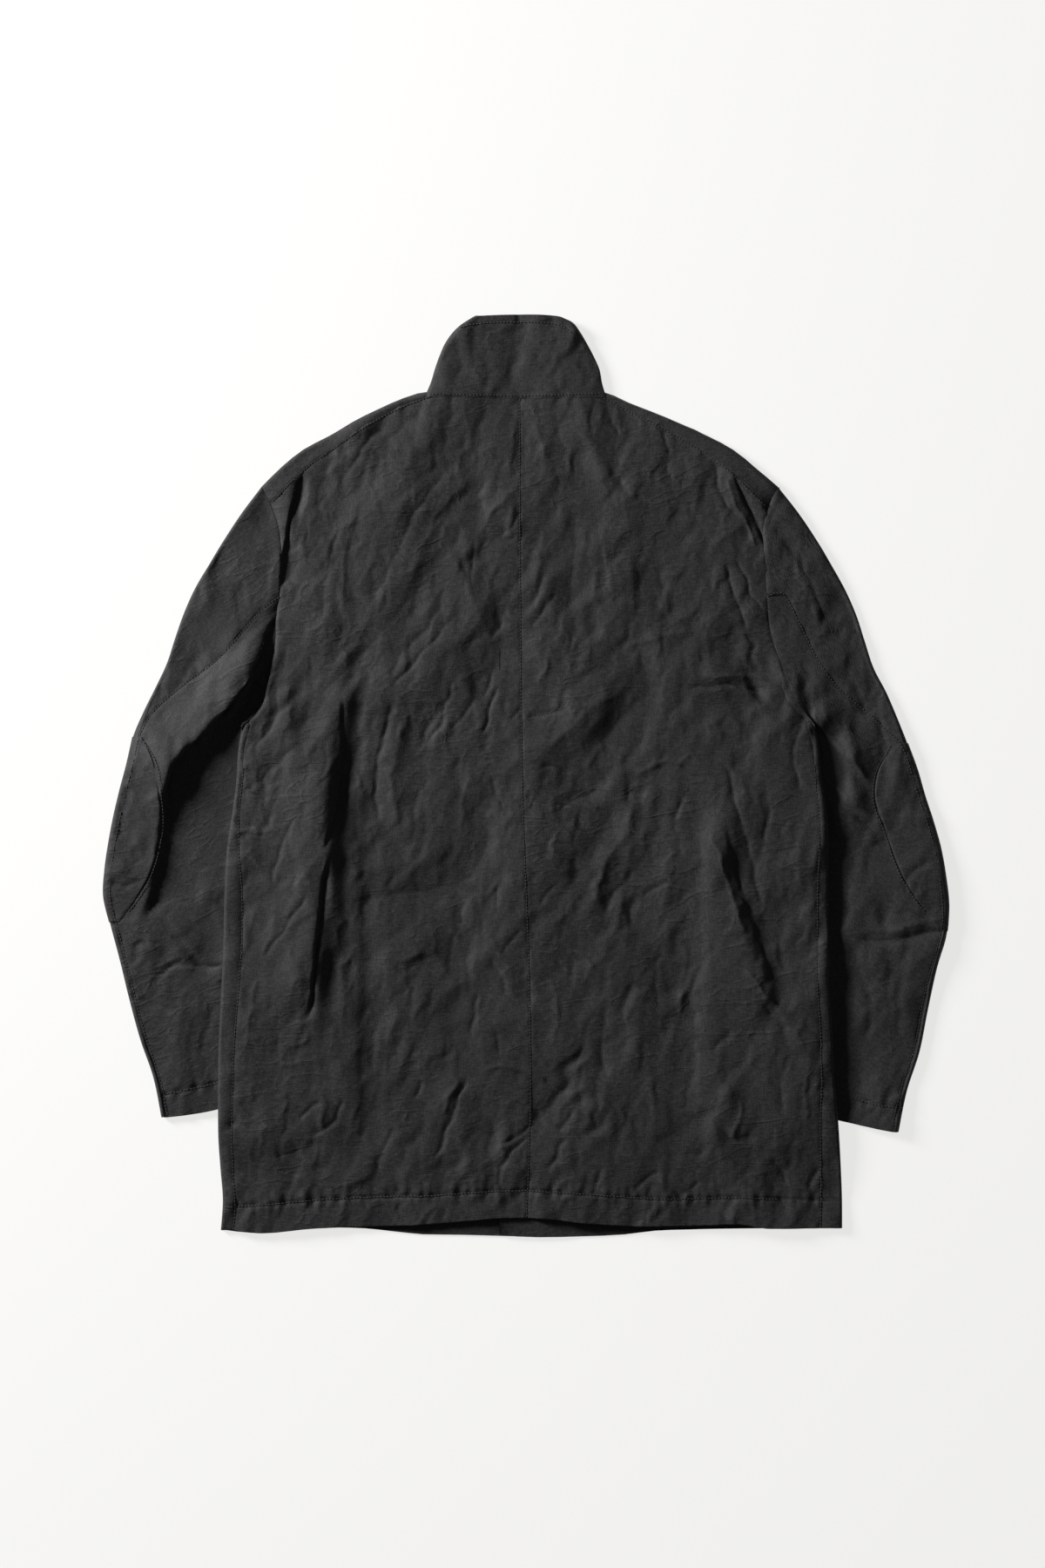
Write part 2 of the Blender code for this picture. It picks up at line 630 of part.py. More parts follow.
def make_top_sleeve(which):
    """The outer half of a sleeve: the layer that lies lowest, the rolled edge and a strip above."""
    side = SIDES[which]
    outer, _, cuff, armhole_back, armhole_front, seam, front_seam = sleeve_lines(side)
    sign = side["sign"]
    bottom = patch(lambda t: armhole_front(t * FRONT_SEAM_SHARE),
                   lambda t: cuff(t * FRONT_SEAM_AT_CUFF), outer, front_seam, SLEEVE_FADE)
    top = patch(lambda t: armhole_back(t * BACK_SEAM_SHARE), lambda t: cuff(t * BACK_SEAM_AT_CUFF),
                outer, seam, SLEEVE_FADE)
    columns = [("low", share / 7) for share in (7, 6, 5, 4, 3, 2, 1)]
    columns += [("curl", angle) for angle in CURL_ANGLES] + [("high", .35), ("high", .7), ("high", 1)]

    def place(column, v):
        kind, amount = column
        edge_x, edge_y = outer(v)
        away = math.dist(outer(v), outer(0))
        low_start = front_level(*outer(0))
        low, high = sleeve_levels(which, edge_x, edge_y, away, low_start)
        radius = 0.5 * (high - low)
        surface = top if kind == "high" or (kind == "curl" and amount > 0) else bottom
        span = math.dist(surface(0.0, v), surface(1.0, v))
        if kind == "curl":
            x, y, z = rounded_edge(low, high, amount, lambda d: surface(d / span, v))
            return from_armhole(sign, v, kind, x, y, z)
        start = radius / span
        u = start + (1.0 - start) * amount
        x, y = surface(u, v)
        start_point = surface(u, 0.0)
        low, high = sleeve_levels(which, x, y, math.dist((x, y), start_point),
                                  front_level(*start_point))
        return from_armhole(sign, v, kind, x, y, low if kind == "low" else high)

    return sheet("top_sleeve_" + which, columns, SLEEVE_ROWS, place, sign < 0, CLOTH, DARKER)


def make_under_sleeve(which):
    """The inner half of a sleeve: the layer in sight, the hidden rolled edge and a strip below."""
    side = SIDES[which]
    _, inner, cuff, armhole_back, armhole_front, seam, front_seam = sleeve_lines(side)
    sign = side["sign"]
    top = patch(lambda t: armhole_back(BACK_SEAM_SHARE + (1.0 - BACK_SEAM_SHARE) * t),
                lambda t: cuff(BACK_SEAM_AT_CUFF + (1.0 - BACK_SEAM_AT_CUFF) * t),
                seam, inner, SLEEVE_FADE)
    bottom = patch(lambda t: armhole_front(FRONT_SEAM_SHARE + (1.0 - FRONT_SEAM_SHARE) * t),
                   lambda t: cuff(FRONT_SEAM_AT_CUFF + (1.0 - FRONT_SEAM_AT_CUFF) * t),
                   front_seam, inner, SLEEVE_FADE)
    columns = [("high", share) for share in (1, .9, .8, .68, .56, .44, .32, .2, .1)]
    columns += [("curl", angle) for angle in CURL_ANGLES[::-1]] + [("low", .5), ("low", 1)]

    def place(column, v):
        kind, amount = column
        edge_x, edge_y = inner(v)
        away = math.dist(inner(v), inner(0))
        low, high = sleeve_levels(which, edge_x, edge_y, away, front_level(*inner(0)))
        radius = 0.5 * (high - low)
        surface = bottom if kind == "low" or (kind == "curl" and amount < 0) else top
        span = math.dist(surface(0.0, v), surface(1.0, v))
        if kind == "curl":
            turn = smooth(v / 0.08)
            x, y, z = rounded_edge(low, high, amount, lambda d: mix(
                surface(1.0 - d / span, v), beside(inner, v, sign * d), turn))
            return from_armhole(sign, v, kind, x, y, z)
        start = radius / span
        u = 1.0 - (start + (1.0 - start) * amount)
        x, y = surface(u, v)
        if amount == 1:
            x, y = beside(lambda t: surface(0.0, t), v, -sign * 1.5 * SEAM_GAP)
        start_point = surface(u, 0.0)
        low, high = sleeve_levels(which, x, y, math.dist((x, y), start_point),
                                  front_level(*start_point))
        return from_armhole(sign, v, kind, x, y, low if kind == "low" else high)

    upper = [column[0] for column in columns].index("curl")

    def keep(i, j):
        return i < upper or j >= OPEN_ROWS

    return sheet("under_sleeve_" + which, columns, SLEEVE_ROWS, place, sign < 0, CLOTH, CHARCOAL, keep)


def make_elbow_patch(which):
    """The patch over the elbow: points of the sleeve's upper face and rolled edge, moved out."""
    side = SIDES[which]
    outer = sleeve_lines(side)[0]
    sign = side["sign"]
    first, last = side["patch_rows"]
    ends = [(outer(row)[0] - sign * PATCH_FROM_EDGE, outer(row)[1]) for row in (first, last)]
    border = line_through([ends[0]] + list(side["patch"][1:-1]) + [ends[1]])
    rows = [row for row in SLEEVE_ROWS if first - 0.001 <= row <= last + 0.001]
    columns = [("high", share) for share in (1, .75, .5, .25)]
    columns += [("curl", angle) for angle in (90, 45, 0, -PATCH_TUCK)]

    def place(column, v):
        kind, amount = column
        edge_x, edge_y = outer(v)
        low, high = sleeve_levels(which, edge_x, edge_y, CAP_SETTLE, 0.0)
        radius = 0.5 * (high - low)
        end_x, end_y = border((v - first) / (last - first))
        span = math.dist((edge_x, edge_y), (end_x, end_y))
        if kind == "curl":
            return rounded_edge(low, high, amount,
                                lambda d: mix((edge_x, edge_y), (end_x, end_y), d / span))
        share = radius / span
        x, y = mix((edge_x, edge_y), (end_x, end_y), share + (1.0 - share) * amount)
        return (x, y, sleeve_levels(which, x, y, CAP_SETTLE, 0.0)[1])

    return sheet("elbow_patch_" + which, columns, rows, place, sign > 0, PATCH_CLOTH, CHARCOAL,
                 lift=PATCH_LIFT + PATCH_CLOTH)


def make_collar():
    """The stand collar: its back above, rolled at both sides, its two ends below."""
    left_edge = line_through(SIDES["left"]["collar_edge"])
    right_edge = line_through(SIDES["right"]["collar_edge"])
    neck = line_through([(x, y + 2.0 * SEAM_GAP) for x, y in NECK_SEAM])
    top_edge = line_through(COLLAR_TOP_EDGE)
    above = patch(lambda t: (mix(left_edge(0), right_edge(0), t)[0], neck(t)[1] + COLLAR_OFF_NECK),
                  top_edge, left_edge, right_edge)
    edges = {"left": left_edge, "right": right_edge}
    ends = {}
    for which, edge in edges.items():
        sign = SIDES[which]["sign"]
        stop = CENTRE_FRONT + sign * COLLAR_END_GAP
        neckline = front_neckline(SIDES[which])
        lower = offset_line(turned(neckline), step_between(neckline(1), edge(0)),
                            (-sign * 2.0 * SEAM_GAP, COLLAR_END_BASE),
                            (stop - CENTRE_FRONT, COLLAR_END_BASE))
        bottom = FRONT_NECK_DEPTH + COLLAR_END_BASE
        upper = line_through((edge(1), (CENTRE_FRONT + sign * 26, bottom + 89),
                              (stop, bottom + COLLAR_END_HEIGHT)))
        ends[which] = patch(lower, upper, edge,
                            lambda t, stop=stop: (stop, bottom + COLLAR_END_HEIGHT * t))
    rows = (0, .2, .4, .6, .8, 1)
    columns = [("left", share) for share in (1, .8, .6, .4, .2)]
    columns += [("left curl", angle) for angle in CURL_ANGLES]
    columns += [("above", share) for share in (.1, .2, .3, .4, .5, .6, .7, .8, .9)]
    columns += [("right curl", angle) for angle in CURL_ANGLES[::-1]]
    columns += [("right", share) for share in (.2, .4, .6, .8, 1)]

    def place(column, v):
        kind, amount = column
        high = BODY_DEPTH + (COLLAR_TOP - BODY_DEPTH) * smooth(v)
        radius = 0.5 * high
        wide = math.dist(above(0.0, v), above(1.0, v))
        if kind == "above":
            start = radius / wide
            x, y = above(start + (1.0 - 2.0 * start) * amount, v)
            return (x, y, high)
        which = kind.split()[0]
        end = ends[which]
        span = math.dist(end(0.0, v), end(1.0, v))
        if kind == which:
            start = radius / span
            x, y = end(start + (1.0 - start) * amount, v)
            return (x, y, 0.0)
        sign = SIDES[which]["sign"]
        return rounded_edge(0.0, high, amount, lambda d: beside(edges[which], v, sign * d))

    return sheet("collar", columns, rows, place, False, COLLAR_CLOTH, CHARCOAL)


def centre_on_origin(pieces):
    """Move every mesh so that the laid jacket's box stands centred on the origin."""
    points = [vert.co for piece in pieces for vert in piece.data.vertices]
    middle = [0.5 * (min(p[a] for p in points) + max(p[a] for p in points)) for a in range(2)]
    lowest = min(p[2] for p in points)
    for piece in pieces:
        for vert in piece.data.vertices:
            vert.co.x -= middle[0]
            vert.co.y -= middle[1]
            vert.co.z -= lowest


def build():
    """Make every piece of the jacket."""
    for thing in list(bpy.data.objects):
        bpy.data.objects.remove(thing)
    pieces = []
    for which in SIDES:
        pieces += [make_back(which), make_front(which), make_top_sleeve(which),
                   make_under_sleeve(which), make_elbow_patch(which)]
    pieces.append(make_collar())
    centre_on_origin(pieces)


build()
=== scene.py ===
# %% [markdown]
# Hunting jacket, laid flat with its back upwards
#
# The jacket is thin washed twill. Each cut piece of cloth becomes one fine grid, laid between its
# own seam lines at the height where the imported solid lies, and then creased.

# %% Load the imported frame
import math

import bmesh
import bpy
import numpy as np
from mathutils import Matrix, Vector, kdtree


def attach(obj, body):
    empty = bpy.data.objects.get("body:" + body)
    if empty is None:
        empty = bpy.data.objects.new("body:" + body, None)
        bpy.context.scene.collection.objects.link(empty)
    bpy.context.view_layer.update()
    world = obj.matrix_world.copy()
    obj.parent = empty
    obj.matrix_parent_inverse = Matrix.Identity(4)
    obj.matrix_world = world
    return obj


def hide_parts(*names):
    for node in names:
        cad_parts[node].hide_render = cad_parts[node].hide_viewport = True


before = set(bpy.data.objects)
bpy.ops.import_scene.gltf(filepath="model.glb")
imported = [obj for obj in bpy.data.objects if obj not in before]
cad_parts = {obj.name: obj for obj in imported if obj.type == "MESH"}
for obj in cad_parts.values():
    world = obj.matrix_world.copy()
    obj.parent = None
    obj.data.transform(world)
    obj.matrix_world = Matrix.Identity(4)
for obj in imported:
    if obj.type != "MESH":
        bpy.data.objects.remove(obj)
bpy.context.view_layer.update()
MM = 0.001
print("frame nodes:", sorted(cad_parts))

# %% [markdown]
# The camera hangs straight above, as the photograph was taken. The picture is 1200 by 1800 and one
# of its pixels covers 0.85 mm of the floor, so the height follows from the lens.

# %% Camera
MM_PER_PIXEL = 0.85
LENS = 85.0
HEIGHT = 1800 * MM_PER_PIXEL * MM / 36.0 * LENS
camera_data = bpy.data.cameras.new("camera")
camera_data.lens = LENS
camera_data.sensor_width = 36.0
camera = bpy.data.objects.new("camera", camera_data)
camera.location = (-0.0038, -0.0081, HEIGHT)
bpy.context.collection.objects.link(camera)
bpy.context.scene.camera = camera
print("camera height", round(HEIGHT, 3), "m")

# %% [markdown]
# A maker draws the jacket in plan: body edges, shoulders, armholes, sleeves and collar, for both
# sides. x runs across and y from hem to collar, in millimetres. The third number of a body edge or
# shoulder point is the width of front cloth that turns over onto the back there.

# %% Lines of the jacket in plan
CENTRE_BACK = ((0, -431), (4, -306), (2, -178), (-4, -8), (-6, 162), (-7, 371))
NECK_SEAM = ((-92, 372), (-60, 371), (-7, 370), (40, 371), (72, 372))
COLLAR_TOP_EDGE = ((-52, 447), (-38, 448), (-4, 449), (26, 448), (36, 446))
CENTRE_FRONT = -6.0
FRONT_NECK_DEPTH = 306.0

SIDES = {
    "left": {
        "sign": -1,
        "body_edge": ((-298, -443, 12), (-296, -416, 12), (-300, -356, 13), (-300, -273, 15),
                      (-297, -204, 17), (-295, -161, 18), (-294, -111, 17), (-292, -74, 12),
                      (-287, -40, 7), (-282, 0, 6), (-281, 20, 6), (-279, 38, 6), (-275, 49, 6)),
        "shoulder": ((-95, 374, 5), (-111, 373, 7), (-124, 366, 8), (-153, 353, 9), (-191, 332, 13),
                     (-225, 313, 17), (-258, 282, 19)),
        "shoulder_turn": (0.48, -0.88),
        "armhole_back": ((-258, 282), (-249, 265), (-240, 235), (-238, 203), (-241, 169),
                         (-243, 130), (-247, 100), (-253, 74), (-262, 57), (-275, 49)),
        "armhole_front": ((-258, 282), (-234, 250), (-215, 205), (-208, 155), (-222, 100),
                          (-250, 66), (-275, 49)),
        "sleeve_outer": ((-258, 282), (-284, 247), (-305, 213), (-325, 179), (-339, 145),
                         (-350, 111), (-366, 77), (-382, 43), (-390, 9), (-399, -25), (-406, -59),
                         (-411, -93), (-412, -119), (-406, -144), (-397, -178), (-380, -246),
                         (-363, -297), (-359, -322), (-356, -333)),
        "sleeve_inner": ((-273, 49), (-275, 38), (-277, 28), (-277, 14), (-270, -4), (-248, -30),
                         (-222, -62), (-214, -102), (-214, -178), (-215, -263), (-215, -301)),
        "cuff": ((-356, -333), (-340, -332), (-300, -325), (-215, -301)),
        "sleeve_seam": ((-260, 160), (-296, 118), (-336, 87), (-364, 62)),
        "patch": ((-379, 38), (-369, 25), (-360, 8), (-357, -18), (-356, -50), (-363, -85),
                  (-374, -110), (-385, -126), (-396, -138)),
        "patch_rows": (0.42, 0.70),
        "back_hem": ((-298, -443), (-265, -446), (-210, -441), (-110, -438), (-24, -431), (0, -431)),
        "front_hem": ((10, -450), (-60, -448), (-110, -447), (-150, -442), (-210, -441),
                      (-265, -446), (-298, -443)),
        "collar_edge": ((-99, 370), (-95, 378), (-91, 391), (-86, 406), (-79, 422), (-68, 436), (-52, 447)),
        "reach": 10.0,
    },
    "right": {
        "sign": 1,
        "body_edge": ((308, -441, 22), (308, -416, 21), (304, -340, 18), (300, -295, 13),
                      (298, -249, 12), (295, -204, 12), (295, -161, 12), (294, -113, 11),
                      (294, -51, 9), (289, -14, 7), (286, 12, 6), (284, 36, 6), (279, 51, 6)),
        "shoulder": ((75, 374, 5), (90, 370, 7), (108, 359, 9), (130, 352, 11), (166, 336, 15),
                     (200, 319, 19), (234, 291, 22), (245, 282, 23)),
        "shoulder_turn": (-0.5, -0.87),
        "armhole_back": ((245, 282), (233, 262), (229, 245), (232, 220), (234, 190), (235, 158),
                         (242, 128), (250, 98), (256, 74), (265, 58), (279, 51)),
        "armhole_front": ((245, 282), (228, 250), (212, 205), (206, 155), (222, 102), (252, 68),
                          (279, 51)),
        "sleeve_outer": ((245, 282), (272, 247), (293, 213), (312, 179), (326, 145), (336, 111),
                         (353, 77), (367, 43), (380, 9), (390, -25), (401, -59), (408, -93),
                         (412, -134), (408, -161), (396, -205), (385, -263), (374, -297),
                         (366, -328), (363, -347)),
        "sleeve_inner": ((277, 51), (279, 37), (281, 27), (281, 14), (276, -4), (258, -30),
                         (232, -70), (222, -112), (222, -195), (222, -270), (222, -316)),
        "cuff": ((363, -347), (350, -346), (300, -335), (222, -316)),
        "sleeve_seam": ((250, 178), (266, 149), (283, 115), (303, 87), (332, 62)),
        "patch": ((360, 36), (352, 20), (344, 6), (340, -12), (342, -32), (350, -52), (358, -76),
                  (368, -100), (382, -122), (397, -138)),
        "patch_rows": (0.42, 0.70),
        "back_hem": ((308, -441), (249, -441), (225, -437), (164, -439), (105, -439), (45, -435),
                     (19, -431), (0, -431)),
        "front_hem": ((-24, -448), (10, -450), (86, -448), (117, -444), (164, -442), (213, -441),
                      (308, -440)),
        "collar_edge": ((78, 369), (74, 382), (71, 397), (64, 412), (54, 430), (46, 441), (36, 446)),
        "reach": -24.0,
    },
}

# %% [markdown]
# The cloth lies in layers. The fronts are on the floor, the sleeves' ends are tucked below them, and
# the back lies on top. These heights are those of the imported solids.

# %% Heights and folds
SLEEVE_UNDER_BODY = 4.5
SLEEVE_IN_SIGHT = 7.0
BODY_OVER_SLEEVE = 4.9
BODY_DEPTH = 6.5
COLLAR_TOP = 9.0
LAP_RISE = 1.8

# Columns: height, reach on the left and on the right of the line, the line
BODY_FOLDS = (
    (9.0, 11, 70, ((-172, 134), (-176, 85), (-184, 34), (-189, -20), (-193, -80), (-194, -144),
                   (-206, -229), (-216, -275))),
    (6.0, 26, 9, ((100, 100), (140, 92), (180, 87), (240, 92))),
    (3.5, 12, 12, ((188, 312), (214, 280), (238, 244))),
    (4.0, 8, 16, ((-219, 298), (-229, 262), (-236, 215))),
    (3.0, 16, 14, ((-150, 350), (-166, 322), (-180, 290))),
    (5.0, 16, 42, ((178, -35), (206, -120), (226, -187), (246, -240))),
    (2.5, 10, 14, ((-44, -380), (-20, -362), (4, -345))),
    (2.5, 12, 10, ((34, -350), (24, -372), (14, -392))),
    (3.0, 12, 20, ((-58, -285), (-70, -315), (-82, -345))),
    (3.0, 14, 18, ((205, -300), (190, -330), (180, -365))),
    (2.5, 12, 16, ((-110, 240), (-128, 180), (-150, 120))),
    (2.5, 16, 12, ((36, 150), (22, 110), (10, 70))),
)
SLEEVE_FOLDS = {
    "left": (
        (12.5, 14, 56, ((-243, 152), (-256, 118), (-271, 88), (-294, 60), (-322, 32), (-344, 8),
                        (-356, -22), (-357, -36))),
        (3.0, 10, 14, ((-338, -126), (-324, -138), (-314, -152))),
        (3.0, 9, 14, ((-352, -196), (-330, -186), (-312, -194))),
    ),
    "right": (
        (5.0, 30, 14, ((277, 72), (296, 40), (314, 20), (336, -8))),
        (4.0, 15, 12, ((286, 4), (308, -14), (330, -32))),
        (5.0, 10, 16, ((240, 262), (268, 225), (290, 182), (302, 160))),
        (4.0, 9, 14, ((330, -160), (370, -163), (414, -161))),
    ),
}

# %% [markdown]
# Smooth lines through a few points give every seam. A line is a function: a share of its length in,
# the point there out. Two lines can be chained, turned round, or joined across into a surface.

# %% Line helpers
def smooth(share):
    """Ease from 0 to 1 with level ends, for one number or many."""
    share = np.clip(share, 0.0, 1.0)
    return share * share * (3.0 - 2.0 * share)


def mix(a, b, share):
    """The point a share of the way from a to b."""
    return tuple(p + (q - p) * share for p, q in zip(a, b))


def step_between(a, b):
    """The step from one plan point to another."""
    return (b[0] - a[0], b[1] - a[1])


def rounded(values, before, start, end, after):
    """A cubic through start and end whose ends lean towards the neighbours."""
    t = values
    return 0.5 * (2 * start + (end - before) * t + (2 * before - 5 * start + 4 * end - after) * t ** 2
                  + (3 * start - before - 3 * end + after) * t ** 3)


def line_through(points, steps=8):
    """A smooth line through the points."""
    last = len(points) - 1
    dense = [points[0]]
    for k in range(last):
        near = (points[max(k - 1, 0)], points[k], points[k + 1], points[min(k + 2, last)])
        for step in range(1, steps + 1):
            dense.append(tuple(rounded(step / steps, *four) for four in zip(*near)))
    dense = np.array(dense, dtype=float)
    steps_along = np.hypot(*np.diff(dense[:, :2], axis=0).T)
    reach = np.concatenate([[0.0], np.cumsum(steps_along)]) / steps_along.sum()

    def at(share):
        return tuple(float(np.interp(share, reach, dense[:, k])) for k in range(dense.shape[1]))

    return at


def chain(first, second, share):
    """One line made of two, the first taking the given share."""
    return lambda t: first(t / share) if t <= share else second((t - share) / (1.0 - share))


def turned(line):
    """The same line walked the other way."""
    return lambda t: line(1.0 - t)


def stepped(line, first=0.0, steps=8):
    """Straight stretches between equal shares of a line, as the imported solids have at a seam."""
    marks = ([0.0] if first else []) + [first + (1.0 - first) * k / steps for k in range(steps + 1)]
    points = np.array([line(mark)[:3] for mark in marks])
    return lambda t: tuple(float(np.interp(t, marks, points[:, k])) for k in range(points.shape[1]))


def patch(low, high, first, last, fade=1.0):
    """The plan surface between four lines: rows are straight, plus the fading bulge of the ends."""
    def at(u, v):
        start, end = first(v)[:2], last(v)[:2]
        x, y = mix(start, end, u)
        for line, strength in ((low, (1.0 - v) ** fade), (high, v ** fade)):
            near, far = line(0)[:2], line(1)[:2]
            bulge = step_between(mix(near, far, u), line(u)[:2])
            scale = strength * min(1.0, math.dist(start, end) / math.dist(near, far))
            x, y = x + bulge[0] * scale, y + bulge[1] * scale
        return (x, y)
    return at


def offset_line(line, first, middle, last):
    """A line beside another, moved by one step at its start, one on its way and one at its end."""
    def at(t):
        early, late = float(smooth(t / 0.3)), float(smooth((t - 0.9) / 0.1))
        step = mix(mix(first, middle, early), last, late)
        x, y = line(t)
        return (x + step[0], y + step[1])
    return at


def beside(line, share, away):
    """A point square to a line, on its left when walked along for a positive distance."""
    dx, dy = step_between(line(max(share - 0.004, 0.0)), line(min(share + 0.004, 1.0)))
    span = math.hypot(dx, dy)
    x, y = line(share)[:2]
    return (x - away * dy / span, y + away * dx / span)


# %% [markdown]
# Distances to a line of points are wanted for a hundred thousand points at once, so they are
# worked out with arrays. The sign tells on which side of the line a point lies.

# %% Heights over the plan
def nearest_on(points, x, y):
    """Distance to a line of points, the side (1 for its left) and the share of its length there."""
    points = np.asarray(points, dtype=float)
    x, y = np.asarray(x, dtype=float), np.asarray(y, dtype=float)
    lengths = np.hypot(*np.diff(points, axis=0).T)
    best = np.full(x.shape, 1e9)
    side, share = np.ones(x.shape), np.zeros(x.shape)
    walked = 0.0
    for (ax, ay), (bx, by), span in zip(points, points[1:], lengths):
        dx, dy = bx - ax, by - ay
        t = np.clip(((x - ax) * dx + (y - ay) * dy) / span ** 2, 0.0, 1.0)
        away = np.hypot(x - ax - t * dx, y - ay - t * dy)
        closer = away < best
        best = np.where(closer, away, best)
        side = np.where(closer, np.where(dx * (y - ay) - dy * (x - ax) > 0, 1.0, -1.0), side)
        share = np.where(closer, (walked + t * span) / lengths.sum(), share)
        walked += span
    return best, side, share


def folds_at(table, x, y):
    """Height that the folds of a table add."""
    height = np.zeros(np.shape(x))
    for rise, left_reach, right_reach, line in table:
        away, side, share = nearest_on(line, x, y)
        reach = np.where(side > 0, left_reach, right_reach)
        ends = smooth(share / 0.22) * smooth((1.0 - share) / 0.22)
        height += np.where(away < reach, rise * ends * np.cos(0.5 * np.pi * away / reach) ** 2, 0.0)
    return height


def sleeve_under_body(side):
    """Outline of the part of a sleeve that lies under the body."""
    far = 335 * side["sign"]
    inner = list(side["sleeve_inner"])
    return inner + [(far, inner[-1][1] - 22), (far, inner[0][1])]


HIDDEN_SLEEVES = [sleeve_under_body(side) for side in SIDES.values()]


def inside(polygon, x, y):
    """Which points lie inside a closed outline."""
    hit = np.zeros(np.shape(x), dtype=bool)
    for (ax, ay), (bx, by) in zip(polygon, polygon[1:] + polygon[:1]):
        if ay != by:
            crosses = ((ay > y) != (by > y)) & (x < (bx - ax) * (y - ay) / (by - ay) + ax)
            hit ^= crosses
    return hit


def front_level(x, y):
    """Height of the body's underside, which climbs over the sleeves tucked below it."""
    x, y = np.asarray(x, dtype=float), np.asarray(y, dtype=float)
    level = np.zeros(x.shape)
    for outline in HIDDEN_SLEEVES:
        away = nearest_on(outline + outline[:1], x, y)[0]
        away = np.where(inside(outline, x, y), 0.0, away)
        level = np.maximum(level, smooth((66.0 - away) / 26.0))
    return BODY_OVER_SLEEVE * level


def back_level(x, y):
    """Height of the body's upper face, with its folds."""
    return front_level(x, y) + BODY_DEPTH + folds_at(BODY_FOLDS, x, y)


def right_front_level(x, y):
    """The right front steps up over the left front's edge."""
    lap = 1.0 - smooth((np.asarray(x) - 24.0) / 30.0)
    return np.maximum(front_level(x, y), LAP_RISE * lap)
